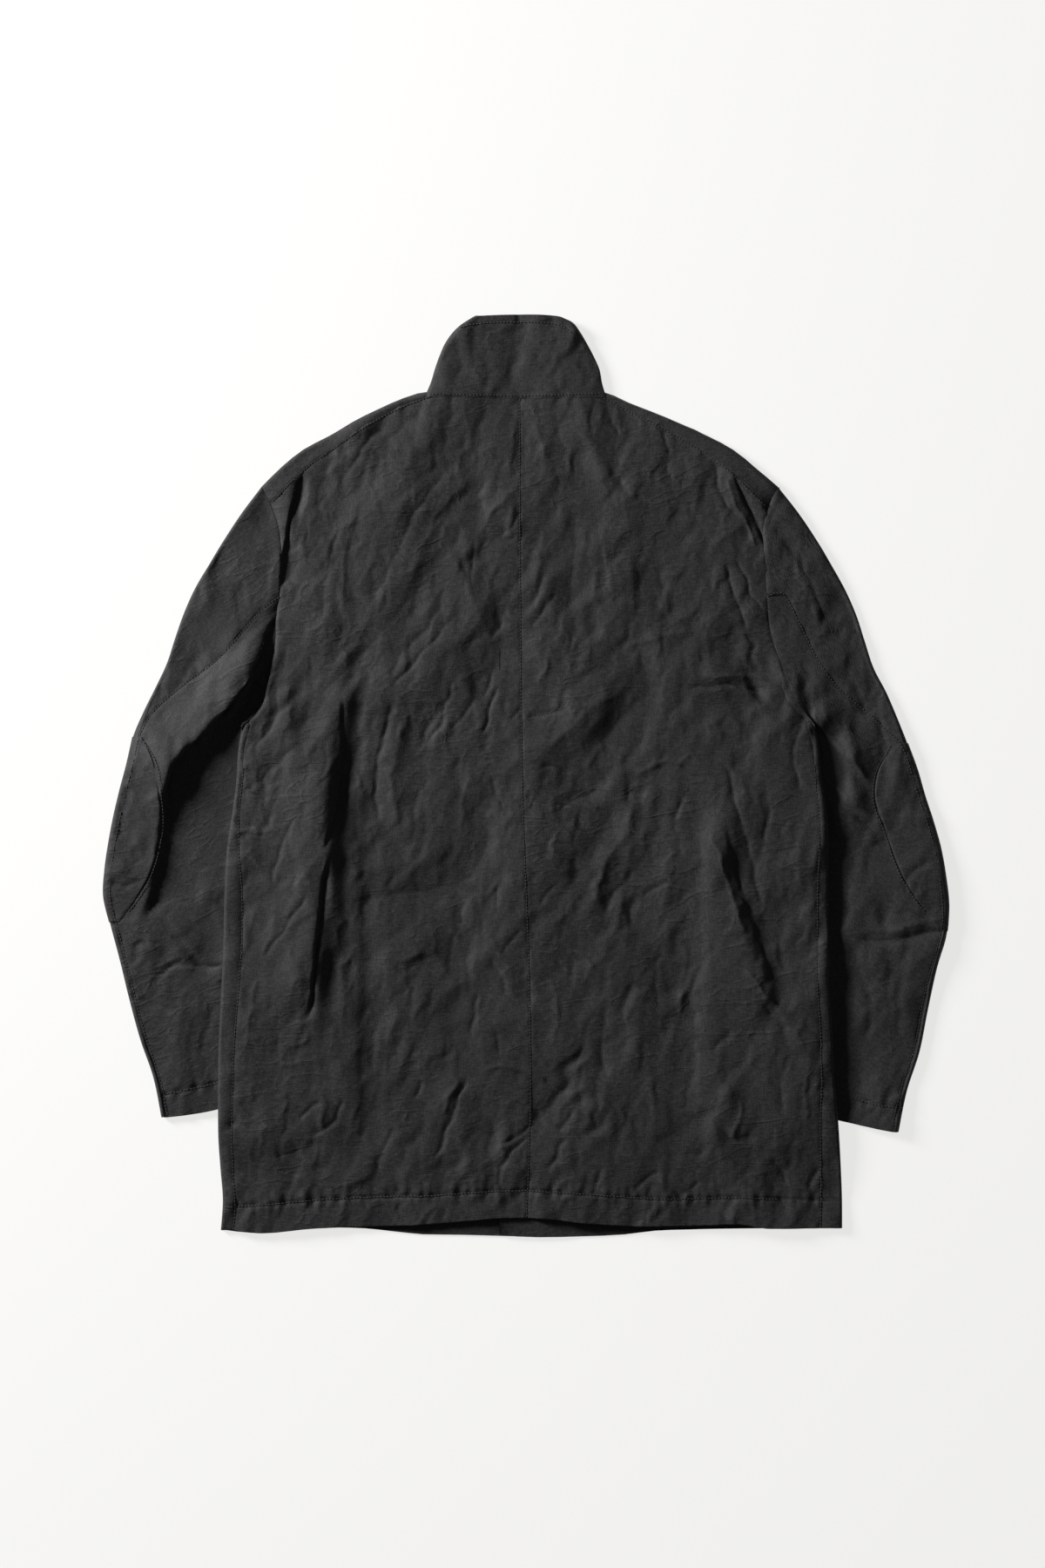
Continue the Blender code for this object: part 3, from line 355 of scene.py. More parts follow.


# %% [markdown]
# The creases come from looking at the photograph a hand's width at a time. Each is a short line
# with a depth, below zero for a groove, and a reach to each side. Sharp creases reach 2 to 4 mm and
# soft dips 10 mm or more. The points are in the photograph's pixels, as they were read off.

# %% Creases placed one by one
# Columns: depth in mm, reach left and right of the line in mm, the line
CREASES = (
    # back, upper left
    (-2.6, 5, 9, ((348, 540), (341, 573), (334, 596), (324, 626))),
    (1.4, 8, 6, ((358, 545), (352, 575), (346, 600), (336, 630))),
    (-1.6, 4, 5, ((310, 574), (300, 589), (292, 612))),
    (-1.5, 4, 6, ((264, 633), (258, 656), (246, 670))),
    (-1.6, 4, 6, ((323, 640), (311, 651), (301, 678))),
    (-1.2, 8, 8, ((374, 545), (366, 570), (360, 590))),
    (-2.0, 6, 9, ((440, 490), (421, 509), (394, 553))),
    (-1.2, 10, 12, ((486, 470), (462, 494), (438, 512))),
    (-1.4, 7, 10, ((385, 640), (379, 660), (373, 683), (371, 716))),
    (-2.0, 9, 14, ((529, 527), (502, 555), (488, 575), (467, 605), (456, 635), (444, 658), (424, 702))),
    (1.3, 9, 9, ((548, 540), (520, 570), (498, 600), (482, 640), (462, 680))),
    (1.2, 8, 8, ((404, 590), (398, 630), (394, 668), (392, 706))),
    # left sleeve
    (-3.2, 5, 9, ((320, 683), (316, 699), (309, 720), (307, 748), (297, 768), (281, 784), (275, 802))),
    (-4.2, 12, 20, ((276, 806), (266, 836), (248, 864), (222, 902), (210, 940), (201, 980), (188, 1024))),
    (-2.4, 4, 5, ((174, 1033), (192, 1030), (210, 1018))),
    (-2.2, 4, 6, ((206, 1021), (229, 1000), (247, 977), (262, 974))),
    (1.6, 5, 6, ((200, 1008), (222, 988), (238, 962))),
    (-1.8, 4, 5, ((190, 1053), (210, 1085), (229, 1106), (258, 1108))),
    (-1.5, 4, 5, ((217, 1098), (238, 1110), (258, 1103))),
    (-1.7, 4, 6, ((212, 1098), (196, 1108), (180, 1122))),
    (-1.6, 6, 6, ((126, 1012), (146, 1017), (170, 1009))),
    (-1.5, 5, 5, ((162, 1142), (178, 1152), (196, 1164))),
    (-1.5, 4, 5, ((183, 1121), (202, 1104), (223, 1108), (257, 1108))),
    (-1.2, 5, 7, ((150, 900), (142, 935), (136, 965))),
    (1.2, 6, 6, ((170, 830), (156, 870), (146, 910))),
    (-1.3, 5, 7, ((234, 742), (216, 770), (196, 800))),
    (1.1, 7, 7, ((262, 700), (240, 730), (222, 760))),
    (-1.3, 6, 7, ((252, 1150), (238, 1180), (232, 1215))),
    (1.2, 7, 6, ((216, 1130), (206, 1165), (204, 1205))),
    # back, left part
    (-2.8, 4, 8, ((394, 805), (396, 840), (396, 872), (392, 918), (382, 952), (372, 975))),
    (5.0, 3, 16, ((222, 846), (200, 878), (189, 905), (185, 940), (179, 985), (166, 1022))),
    (-2.6, 6, 10, ((381, 980), (373, 1010), (369, 1055), (364, 1101), (360, 1140), (352, 1172), (347, 1190))),
    (-1.8, 5, 8, ((318, 778), (319, 815), (312, 835), (291, 862))),
    (1.2, 6, 8, ((332, 782), (334, 820), (326, 846))),
    (-1.4, 4, 4, ((284, 881), (296, 893), (308, 897))),
    (-1.4, 4, 4, ((285, 903), (296, 910), (309, 918))),
    (-2.0, 4, 5, ((268, 938), (280, 944), (295, 952))),
    (1.6, 4, 4, ((270, 955), (284, 953), (300, 957))),
    (-1.6, 4, 6, ((341, 938), (327, 964), (318, 991), (313, 1018))),
    (-1.5, 4, 6, ((357, 1022), (339, 1051), (320, 1078), (299, 1101))),
    (1.3, 4, 5, ((335, 1199), (347, 1196), (358, 1190))),
    (1.1, 4, 5, ((324, 1220), (337, 1222), (350, 1218))),
    (-1.4, 4, 5, ((274, 1262), (290, 1276), (308, 1296))),
    (-1.5, 4, 5, ((371, 1266), (358, 1272), (345, 1282))),
    (-1.7, 4, 5, ((394, 1258), (389, 1281), (375, 1294), (359, 1303))),
    (-1.8, 9, 9, ((318, 1330), (332, 1326), (347, 1320))),
    (1.2, 7, 8, ((420, 1230), (412, 1264), (402, 1300))),
    (-1.3, 6, 9, ((440, 1150), (430, 1190), (428, 1235))),
    (-1.4, 5, 7, ((456, 1290), (440, 1320), (432, 1350))),
    (1.2, 6, 6, ((296, 1120), (290, 1160), (284, 1200))),
    (-1.2, 5, 7, ((284, 1030), (278, 1064), (280, 1090))),
    # back, middle left of the centre seam
    (-1.8, 6, 9, ((511, 665), (504, 697), (495, 720), (460, 750), (446, 786))),
    (-1.5, 5, 7, ((527, 702), (497, 738), (472, 768), (446, 794))),
    (-1.2, 5, 6, ((545, 617), (543, 645), (541, 672))),
    (-2.4, 7, 10, ((450, 806), (442, 840), (433, 872), (430, 918), (438, 948))),
    (1.5, 9, 8, ((466, 810), (458, 850), (450, 890), (450, 930))),
    (-1.6, 4, 6, ((525, 778), (513, 808), (508, 833), (489, 860))),
    (-1.4, 4, 5, ((546, 801), (531, 822), (517, 839))),
    (-2.2, 3, 4, ((571, 787), (561, 821), (556, 847))),
    (-1.7, 3, 4, ((567, 771), (561, 786), (556, 800))),
    (-1.4, 4, 5, ((597, 587), (588, 602), (576, 616))),
    (-1.2, 4, 4, ((575, 622), (584, 619), (594, 613))),
    (-1.2, 4, 5, ((578, 711), (573, 722), (567, 733))),
    (-1.3, 4, 4, ((599, 812), (593, 820), (586, 829))),
    (-1.4, 4, 6, ((567, 888), (573, 918), (585, 938))),
    (-2.0, 12, 16, ((400, 1036), (430, 1030), (470, 1026), (522, 1022))),
    (1.4, 12, 12, ((410, 1000), (450, 994), (500, 992))),
    (-1.5, 4, 5, ((531, 1035), (531, 1048), (529, 1064))),
    (-1.4, 4, 5, ((522, 1070), (521, 1086), (520, 1103))),
    (-1.2, 4, 4, ((571, 1017), (570, 1028), (568, 1041))),
    (-1.5, 4, 5, ((563, 1099), (573, 1116), (580, 1133), (583, 1144))),
    (-1.4, 4, 5, ((576, 1096), (587, 1080), (599, 1065))),
    (-1.4, 4, 5, ((551, 1136), (547, 1156), (544, 1174), (539, 1192))),
    (-1.3, 4, 5, ((569, 1182), (571, 1196), (575, 1211))),
    (-2.4, 4, 6, ((539, 1232), (527, 1256), (521, 1279), (510, 1304), (497, 1334))),
    (1.7, 5, 5, ((528, 1236), (515, 1260), (508, 1282))),
    (-1.5, 4, 5, ((486, 1239), (481, 1249), (474, 1262))),
    (1.4, 4, 4, ((556, 1225), (578, 1223), (606, 1228))),
    (-1.9, 3, 4, ((608, 1292), (594, 1303), (575, 1314))),
    (-2.0, 3, 4, ((604, 1305), (588, 1320), (575, 1338), (574, 1365))),
    (-1.3, 6, 8, ((480, 905), (474, 944), (476, 975))),
    (1.2, 7, 7, ((540, 880), (532, 920), (530, 960))),
    # back, middle right of the centre seam
    (-1.6, 4, 6, ((629, 658), (616, 683), (613, 699))),
    (-1.5, 4, 5, ((638, 679), (623, 704), (609, 722))),
    (1.5, 5, 6, ((631, 758), (624, 773), (618, 787))),
    (-1.6, 12, 14, ((664, 576), (660, 620), (656, 664), (654, 712))),
    (1.2, 12, 12, ((694, 600), (688, 650), (684, 700))),
    (-1.4, 4, 5, ((606, 822), (622, 820), (641, 816))),
    (-1.5, 4, 5, ((622, 878), (639, 881), (657, 891))),
    (-1.3, 4, 5, ((640, 1014), (632, 1024), (620, 1037))),
    (1.5, 4, 5, ((652, 1088), (668, 1098), (683, 1109))),
    (-1.9, 3, 4, ((653, 1253), (640, 1247), (623, 1240))),
    (-1.7, 4, 4, ((657, 1273), (650, 1286), (642, 1298))),
    (-2.2, 4, 6, ((650, 1306), (640, 1325), (629, 1346))),
    (-1.7, 4, 5, ((690, 1340), (686, 1356), (680, 1370))),
    (-1.3, 5, 8, ((668, 930), (660, 965), (662, 1000))),
    (1.2, 6, 7, ((636, 1120), (640, 1160), (636, 1200))),
    (-1.4, 6, 8, ((700, 1150), (690, 1190), (694, 1235))),
    (-1.2, 5, 6, ((672, 1220), (664, 1250), (668, 1276))),
    # back, right part
    (-1.5, 4, 5, ((702, 480), (705, 490), (710, 502))),
    (-1.3, 5, 5, ((763, 495), (765, 508), (768, 522))),
    (-1.2, 5, 5, ((711, 548), (717, 560), (724, 571))),
    (1.2, 6, 6, ((712, 742), (758, 732), (798, 724))),
    (-2.0, 6, 5, ((786, 793), (825, 787), (857, 789), (893, 795))),
    (1.6, 5, 5, ((800, 780), (828, 776), (858, 777), (884, 780))),
    (-2.0, 5, 7, ((820, 528), (827, 564), (834, 582), (854, 596))),
    (-2.4, 4, 6, ((843, 548), (852, 571), (870, 601), (878, 627))),
    (1.7, 5, 5, ((834, 548), (842, 575), (860, 606), (868, 634))),
    (-1.8, 5, 6, ((833, 645), (841, 683), (852, 706), (858, 728))),
    (-1.6, 4, 5, ((845, 640), (857, 670), (876, 704))),
    (1.6, 6, 8, ((672, 883), (682, 868), (695, 854))),
    (1.7, 6, 6, ((727, 892), (746, 879), (765, 874), (787, 881))),
    (-2.0, 8, 7, ((718, 911), (730, 909), (741, 913))),
    (1.8, 8, 9, ((727, 916), (721, 955), (696, 987), (682, 1033), (674, 1064))),
    (-1.8, 7, 8, ((691, 1046), (708, 1022), (730, 996))),
    (-1.5, 4, 5, ((786, 913), (780, 927), (773, 943))),
    (-1.8, 6, 7, ((823, 863), (838, 890), (845, 927), (857, 964), (866, 1000), (875, 1057))),
    (-2.4, 6, 9, ((829, 946), (845, 1000), (857, 1039), (870, 1069), (880, 1101), (892, 1140))),
    (1.8, 6, 5, ((816, 950), (832, 1002), (844, 1040), (857, 1075))),
    (1.7, 5, 6, ((854, 1109), (873, 1136), (904, 1169))),
    (-1.5, 5, 7, ((873, 1150), (890, 1170), (906, 1184))),
    (-1.6, 5, 7, ((924, 817), (914, 844), (909, 876), (922, 911))),
    (-1.5, 4, 5, ((887, 925), (881, 945), (875, 966))),
    (-1.4, 4, 5, ((770, 1011), (754, 1019), (736, 1027))),
    (-1.5, 5, 6, ((841, 1181), (829, 1194), (816, 1206))),
    (-2.8, 12, 14, ((806, 1268), (822, 1288), (842, 1306), (872, 1308))),
    (1.9, 5, 6, ((852, 1263), (848, 1286), (841, 1310))),
    (1.4, 14, 12, ((808, 1318), (828, 1334), (850, 1352))),
    (-1.4, 4, 4, ((787, 1320), (796, 1323), (807, 1326))),
    (-1.6, 4, 5, ((886, 1326), (896, 1342), (905, 1361))),
    (-1.6, 4, 5, ((941, 1341), (934, 1354), (926, 1368))),
    (-1.5, 4, 5, ((725, 1364), (741, 1355), (758, 1344))),
    (-1.4, 4, 4, ((781, 1369), (792, 1364), (803, 1356))),
    (-1.3, 6, 8, ((760, 1080), (752, 1120), (756, 1165))),
    (1.2, 7, 7, ((790, 1080), (784, 1125), (780, 1170))),
    (-1.3, 6, 9, ((726, 1120), (716, 1160), (718, 1210))),
    (-1.2, 6, 8, ((740, 620), (732, 655), (736, 690))),
    (-1.4, 6, 8, ((906, 1200), (896, 1240), (902, 1280))),
    (1.2, 6, 6, ((930, 1210), (924, 1250), (926, 1290))),
    # right sleeve
    (-2.6, 4, 6, ((873, 599), (891, 624), (910, 651), (923, 674), (935, 700), (941, 713))),
    (1.7, 5, 5, ((939, 712), (951, 722), (981, 725), (1000, 752))),
    (-1.8, 8, 8, ((884, 598), (914, 624), (939, 654), (960, 676))),
    (1.5, 7, 6, ((900, 600), (928, 628), (950, 654), (972, 684))),
    (1.8, 4, 5, ((928, 815), (952, 847), (975, 870), (999, 897))),
    (-1.9, 5, 4, ((924, 826), (946, 856), (968, 880), (990, 904))),
    (1.6, 4, 5, ((951, 895), (975, 918), (998, 938), (1017, 949))),
    (-2.0, 6, 4, ((950, 906), (972, 928), (996, 948), (1014, 958))),
    (-2.0, 5, 7, ((1068, 985), (1052, 998), (1039, 1012), (1041, 1028))),
    (-1.7, 4, 5, ((1029, 1045), (1057, 1053), (1075, 1061))),
    (-2.8, 6, 6, ((982, 1078), (1021, 1081), (1055, 1072), (1092, 1064))),
    (1.9, 6, 5, ((984, 1066), (1022, 1069), (1056, 1060), (1088, 1052))),
    (-1.6, 5, 7, ((960, 760), (984, 790), (1000, 830))),
    (-1.4, 5, 6, ((990, 800), (1010, 830), (1020, 866))),
    (-1.4, 5, 7, ((986, 1110), (1000, 1150), (996, 1195))),
    (-1.5, 5, 6, ((1040, 1110), (1030, 1150), (1034, 1190))),
    (1.2, 6, 6, ((1016, 1100), (1014, 1145), (1016, 1190))),
    (-1.3, 5, 5, ((1060, 900), (1050, 930), (1052, 960))),
    # collar
    (-1.1, 6, 8, ((524, 392), (530, 418), (522, 444))),
    (1.0, 8, 8, ((560, 380), (566, 410), (558, 440))),
    (-1.0, 6, 8, ((640, 384), (634, 412), (642, 440))),
    (0.9, 7, 7, ((668, 394), (664, 420), (670, 444))),
)


# Columns: depth of the drop, its width, how far the cloth stays low, the line with the drop on its left
# The hollow beside the left sleeve's roll: it belongs to the sleeve only, not to the back over it
SLEEVE_CLIFFS = (
    (13.0, 4, 34, ((324, 672), (312, 714), (303, 742), (291, 776), (264, 812), (232, 846), (203, 876),
                   (192, 902), (189, 940), (184, 985), (172, 1030), (160, 1060))),
)
CLIFFS = (
    (6.0, 4, 10, ((343, 540), (337, 573), (330, 600), (323, 640), (320, 676))),
    (4.5, 4, 12, ((390, 800), (393, 840), (393, 872), (389, 918), (379, 952), (370, 976))),
    (5.0, 4, 12, ((379, 976), (370, 1010), (366, 1055), (361, 1101), (357, 1140), (350, 1172))),
    (1.0, 4, 10, ((448, 800), (438, 840), (430, 872), (427, 918), (434, 948))),
    (1.5, 4, 10, ((826, 936), (842, 1000), (854, 1039), (867, 1069), (877, 1101), (889, 1140))),
    (2.0, 3, 9, ((838, 540), (849, 571), (866, 601), (876, 629))),
    (4.5, 3, 13, ((874, 596), (884, 608), (897, 627), (914, 648), (926, 674), (941, 712), (948, 724))),
    (6.0, 3, 24, ((929, 820), (937, 850), (944, 900), (950, 1000), (953, 1100), (956, 1200),
                  (962, 1300))),
    (3.0, 4, 20, ((1003, 905), (986, 884), (962, 860), (936, 828))),
)


# The pixel of the photograph that lies at the middle of the plan
MIDDLE_PIXEL = (604.5, 890.5)


def in_plan(pixel_points):
    """Pixels of the photograph as millimetres in plan."""
    return [((px - MIDDLE_PIXEL[0]) * MM_PER_PIXEL, (MIDDLE_PIXEL[1] - py) * MM_PER_PIXEL)
            for px, py in pixel_points]


print(len(CREASES), "creases placed by hand")

# %% [markdown]
# Between the placed creases, washed cloth is never smooth. It breaks into small planes that lean
# different ways and meet in crisp lines, in four sizes, and soft noise gives the slow unevenness.

# %% Crumpled cloth
SHEET_SPAN = 1100.0
CREASE_STRENGTH = 0.95
SHARP_REACH, SHARP_SHARE = 7, 0.62


def soft_noise(x, y, cell, seed):
    """Smooth random heights from about -1 to 1 over the plan, with features of about one cell."""
    count = int(SHEET_SPAN / cell) + 4
    angles = np.random.default_rng(seed).uniform(0.0, 2.0 * np.pi, (count, count))
    gx, gy = (x + SHEET_SPAN / 2) / cell, (y + SHEET_SPAN / 2) / cell
    gx, gy = np.clip(gx, 0, count - 2.001), np.clip(gy, 0, count - 2.001)
    ix, iy = gx.astype(int), gy.astype(int)
    fx, fy = gx - ix, gy - iy

    def corner(step_x, step_y):
        angle = angles[ix + step_x, iy + step_y]
        return np.cos(angle) * (fx - step_x) + np.sin(angle) * (fy - step_y)

    wx, wy = smooth(fx), smooth(fy)
    low = corner(0, 0) * (1 - wx) + corner(1, 0) * wx
    high = corner(0, 1) * (1 - wx) + corner(1, 1) * wx
    return 1.9 * (low * (1 - wy) + high * wy)


# How many times longer than wide the small planes are
FACET_LENGTH = 3.0
# Each layer of planes: width in millimetres, start of the random numbers, lean and tilt
FACET_LAYERS = ((54, 20, 1.25, 0.055), (27, 40, 1.95, 0.070), (14, 60, 0.95, 0.085), (8, 80, 1.45, 0.100))
# How far the line of a crease wanders, in millimetres
WANDER = 2.2
# Share of a crease over which it rises at each end
CREASE_END = 0.16


def facets(x, y, cell, seed, lean, tilt):
    """Small flat triangles that lean different ways and meet in crisp creases, as crumpled cloth has."""
    bent_x = x + cell * 0.45 * soft_noise(x, y, cell * 1.4, seed + 1)
    bent_y = y + cell * 0.45 * soft_noise(x, y, cell * 1.4, seed + 2)
    u = (bent_x * math.cos(lean) + bent_y * math.sin(lean) + SHEET_SPAN) / (cell * FACET_LENGTH)
    v = (bent_y * math.cos(lean) - bent_x * math.sin(lean) + SHEET_SPAN) / cell
    count = int(2.2 * SHEET_SPAN / cell) + 4
    random = np.random.default_rng(seed)
    corners = random.normal(0.0, 0.6, (count, count))
    crossed = random.random((count, count)) > 0.5
    iu, iv = u.astype(int), v.astype(int)
    fu, fv = u - iu, v - iv
    h00, h10 = corners[iu, iv], corners[iu + 1, iv]
    h01, h11 = corners[iu, iv + 1], corners[iu + 1, iv + 1]
    rising = np.where(fu + fv < 1.0, h00 + fu * (h10 - h00) + fv * (h01 - h00),
                      h11 + (1.0 - fu) * (h01 - h11) + (1.0 - fv) * (h10 - h11))
    falling = np.where(fu > fv, h00 + fu * (h10 - h00) + fv * (h11 - h10),
                       h00 + fv * (h01 - h00) + fu * (h11 - h01))
    cluster = np.clip(0.8 + 0.7 * soft_noise(x, y, cell * 2.6, seed + 3), 0.25, 1.3)
    return tilt * cell * cluster * np.where(crossed[iu, iv], rising, falling)


def cliffs(x, y, table):
    """Drops beside the edges of rolled folds, which keep the light off the cloth behind them."""
    height = np.zeros(x.shape)
    for depth, drop, fade, pixels in table:
        line = np.array(in_plan(pixels))
        away, side, share = nearest_on(line, x, y)
        ends = smooth(share / 0.15) * smooth((1.0 - share) / 0.12)
        fall = smooth(away / drop) * np.exp(-np.maximum(away - drop, 0.0) / fade)
        height -= np.where(side > 0, depth * ends * fall, 0.0)
    return height


def crumple(x, y):
    """All the small relief of the cloth at points of the plan, in millimetres."""
    height = 1.2 * soft_noise(x, y * 0.6, 64, 5) + 0.35 * soft_noise(x + 13, y * 0.8, 34, 6)
    for layer in FACET_LAYERS:
        height += facets(x, y, *layer)
    height += cliffs(x, y, CLIFFS)
    for depth, left_reach, right_reach, pixels in CREASES:
        line = np.array(in_plan(pixels))
        room = 3.2 * max(left_reach, right_reach)
        near = ((x > line[:, 0].min() - room) & (x < line[:, 0].max() + room)
                & (y > line[:, 1].min() - room) & (y < line[:, 1].max() + room))
        if not near.any():
            continue
        px, py = x[near], y[near]
        # the line wanders a little, as no real crease is drawn with a ruler
        px = px + WANDER * soft_noise(px, py, 15, 91)
        py = py + WANDER * soft_noise(px, py, 17, 92)
        away, side, share = nearest_on(line, px, py)
        reach = np.where(side > 0, left_reach, right_reach)
        reach = reach * (SHARP_SHARE if max(left_reach, right_reach) <= SHARP_REACH else 1.0)
        ends = smooth(share / CREASE_END) * smooth((1.0 - share) / CREASE_END)
        soft, sharp = np.exp(-(away / reach) ** 1.5), np.exp(-away / (0.4 * reach))
        height[near] += CREASE_STRENGTH * depth * ends * (0.55 * soft + 0.45 * sharp)
    return height


# %% [markdown]
# A piece of cloth starts as a bmesh grid. A few control points across and along are placed first,
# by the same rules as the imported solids, and smooth cubics then fill in the fine points. The
# crumple moves only what faces up, and each edge of a piece dips a little into its seam.

# %% Fine cloth from control points
CURL_ANGLES = (-90, -45, 0, 45, 90)
# The seam allowance at a piece's edge, in millimetres: how far it goes down and how far out
EDGE_TURN = 1.2
ALLOWANCE = 2.4


def refine(points, counts):
    """Fill each gap of the first axis with the given number of steps, along smooth cubics."""
    last = len(points) - 1
    rows = [points[:1]]
    for k, count in enumerate(counts):
        t = (np.arange(1, count + 1) / count)[:, None, None]
        near = (points[max(k - 1, 0)], points[k], points[k + 1], points[min(k + 2, last)])
        rows.append(rounded(t, *near))
    return np.concatenate(rows)


def step_counts(points, targets):
    """How many fine steps each gap of the first axis takes."""
    spans = np.linalg.norm(np.diff(points, axis=0), axis=2).mean(axis=1)
    return [max(1, int(round(span / target))) for span, target in zip(spans, targets)]


def normals_of(points):
    """Unit normals of a grid of points."""
    across = np.gradient(points, axis=0)
    along = np.gradient(points, axis=1)
    normals = np.cross(across, along)
    return normals / np.maximum(np.linalg.norm(normals, axis=2, keepdims=True), 1e-9)


def seam_dip(points, seams):
    """How far the cloth sinks beside its sewn edges."""
    across = np.linalg.norm(np.diff(points, axis=0, prepend=points[:1]), axis=2).cumsum(axis=0)
    along = np.linalg.norm(np.diff(points, axis=1, prepend=points[:, :1]), axis=2).cumsum(axis=1)
    away = {"first column": across, "last column": across[-1:] - across,
            "first row": along, "last row": along[:, -1:] - along}
    dip = np.zeros(points.shape[:2])
    for seam in seams:
        x, y = points[..., 0], points[..., 1]
        pucker = 1.0 + 0.7 * soft_noise(x, y, 9, 70)
        dip = np.maximum(dip, 0.4 * pucker * np.exp(-(away[seam] / 1.8) ** 2))
        dip = np.maximum(dip, 0.5 * soft_noise(x, y, 8, 71) * np.exp(-(away[seam] / 9.0) ** 2))
    return dip


def cloth_piece(name, columns, rows, place, flip, seams=(), fine=2.1, coarse=12.0, keep=None,
                extra=None, lift=0.0, least=1.4, allowance=ALLOWANCE, free=-1):
    """A fine sheet of cloth on its control points, creased, with a seam allowance below its edge."""
    control = np.array([[place(column, row) for row in rows] for column in columns], dtype=float)
    hidden = [column[0] in ("low", "flat") if isinstance(column, tuple) else False for column in columns]
    across = [coarse if hidden[k] and hidden[k + 1] else fine for k in range(len(columns) - 1)]
    row_hidden = [isinstance(row, tuple) and row[0] == "flat" and coarse > fine for row in rows]
    along = [fine for _ in range(len(rows) - 1)] if not all(row_hidden) else [fine * 2] * (len(rows) - 1)
    u_counts = step_counts(control, across)
    v_counts = step_counts(control.transpose(1, 0, 2), along)
    points = refine(control, u_counts)
    points = refine(points.transpose(1, 0, 2), v_counts).transpose(1, 0, 2)
    normals = normals_of(points) * (-1.0 if flip else 1.0)
    if lift:
        points = points + normals * lift
    facing = np.clip(normals[..., 2], 0.0, 1.0) ** 2
    relief = crumple(points[..., 0].ravel(), points[..., 1].ravel()).reshape(facing.shape)
    if "sleeve" in name or "patch" in name:
        relief = relief + cliffs(points[..., 0].ravel(), points[..., 1].ravel(),
                                 SLEEVE_CLIFFS).reshape(facing.shape)
    if extra:
        relief = relief + extra(points)
    relief = relief * facing - seam_dip(points, seams) * facing
    relief = np.maximum(relief, np.minimum(least - points[..., 2], 0.0) * facing)
    points = points + normals * relief[..., None]
    points[..., 2] = np.maximum(points[..., 2], 0.0)
    wide, long = points.shape[0], points.shape[1]
    cloth = bmesh.new()
    bmesh.ops.create_grid(cloth, x_segments=wide - 1, y_segments=long - 1, size=0.5)
    cloth.verts.ensure_lookup_table()
    spots = np.array([(v.co.x, v.co.y) for v in cloth.verts])
    columns_at = np.rint((spots[:, 0] + 0.5) * (wide - 1)).astype(int)
    rows_at = np.rint((spots[:, 1] + 0.5) * (long - 1)).astype(int)
    for vert, place_at in zip(cloth.verts, points[columns_at, rows_at] * MM):
        vert.co = place_at
    row_of = {v: rows_at[v.index] for v in cloth.verts}
    if keep:
        starts_u = np.concatenate([[0], np.cumsum(u_counts)])
        starts_v = np.concatenate([[0], np.cumsum(v_counts)])
        spare = []
        for face in cloth.faces:
            i = min(columns_at[v.index] for v in face.verts)
            j = min(rows_at[v.index] for v in face.verts)
            cell = (int(np.searchsorted(starts_u, i, side="right")) - 1,
                    int(np.searchsorted(starts_v, j, side="right")) - 1)
            if not keep(*cell):
                spare.append(face)
        bmesh.ops.delete(cloth, geom=spare, context="FACES")
    if flip:
        bmesh.ops.reverse_faces(cloth, faces=cloth.faces)
    cloth.normal_update()
    rim = [edge for edge in cloth.edges if edge.is_boundary]
    directions = {v: -v.normal * EDGE_TURN for edge in rim for v in edge.verts}
    outward = {v: Vector() for v in directions}
    for edge in rim:
        a, b = edge.verts
        along = (b.co - a.co).normalized()
        step = (a.co + b.co) / 2 - edge.link_faces[0].calc_center_median()
        for v in (a, b):
            outward[v] += (step - along * step.dot(along)).normalized()
    for v, direction in directions.items():
        if row_of[v] != free % long:
            directions[v] = direction + outward[v].normalized() * allowance
    made = bmesh.ops.extrude_edge_only(cloth, edges=rim)["geom"]
    fresh = [v for v in made if isinstance(v, bmesh.types.BMVert)]
    tree = kdtree.KDTree(len(directions))
    olds = list(directions)
    for k, vert in enumerate(olds):
        tree.insert(vert.co, k)
    tree.balance()
    for vert in fresh:
        vert.co += directions[olds[tree.find(vert.co)[1]]] * MM
        vert.co.z = max(vert.co.z, 0.0)
    mesh = bpy.data.meshes.new(name)
    cloth.to_mesh(mesh)
    cloth.free()
    mesh.shade_smooth()
    piece = bpy.data.objects.new(name, mesh)
    bpy.context.collection.objects.link(piece)
    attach(piece, "root")
    print(name, len(mesh.polygons), "faces")
    return piece


# %% [markdown]
# Where a fold of cloth rolls from the lower to the upper layer, its section is half a circle. A
# function gives the plan point at each distance in from the edge, and the circle does the rest.

# %% Rolled edges and the body's lines
SHOULDER_STEPS = 7
NECK_STEPS = 5
NECK_COLUMN = 0.36
CENTRE_COLUMN = 0.045
ARMPIT_ROW = 0.62
SHOULDER_MARKS = [(1.0 - NECK_COLUMN) * k / SHOULDER_STEPS for k in range(SHOULDER_STEPS + 1)]
BACK_COLUMNS = sorted(SHOULDER_MARKS + [.045, .14, .23, .32, .41, .73, .82, .91, 1.0])
FRONT_COLUMNS = ([0.0] + [CENTRE_COLUMN + (NECK_COLUMN - CENTRE_COLUMN) * k / NECK_STEPS
                          for k in range(NECK_STEPS)]
                 + [NECK_COLUMN + mark for mark in SHOULDER_MARKS])
BODY_ROWS_TO_ARMPIT = (0, .06, .12, .18, .235, .29, .35, .41, .48, .55, .62, .69, .76, .83, .89, .95, 1)
BODY_ROWS = ([ARMPIT_ROW * share for share in BODY_ROWS_TO_ARMPIT]
             + [ARMPIT_ROW + (1.0 - ARMPIT_ROW) * (k + 1) / 8 for k in range(8)])


def rounded_edge(low, high, angle, place):
    """A point on an edge that rolls from the lower to the upper layer of cloth."""
    radius = 0.5 * (high - low)
    x, y = place(radius * (1.0 - math.cos(math.radians(angle))))
    return (x, y, 0.5 * (low + high) + radius * math.sin(math.radians(angle)))


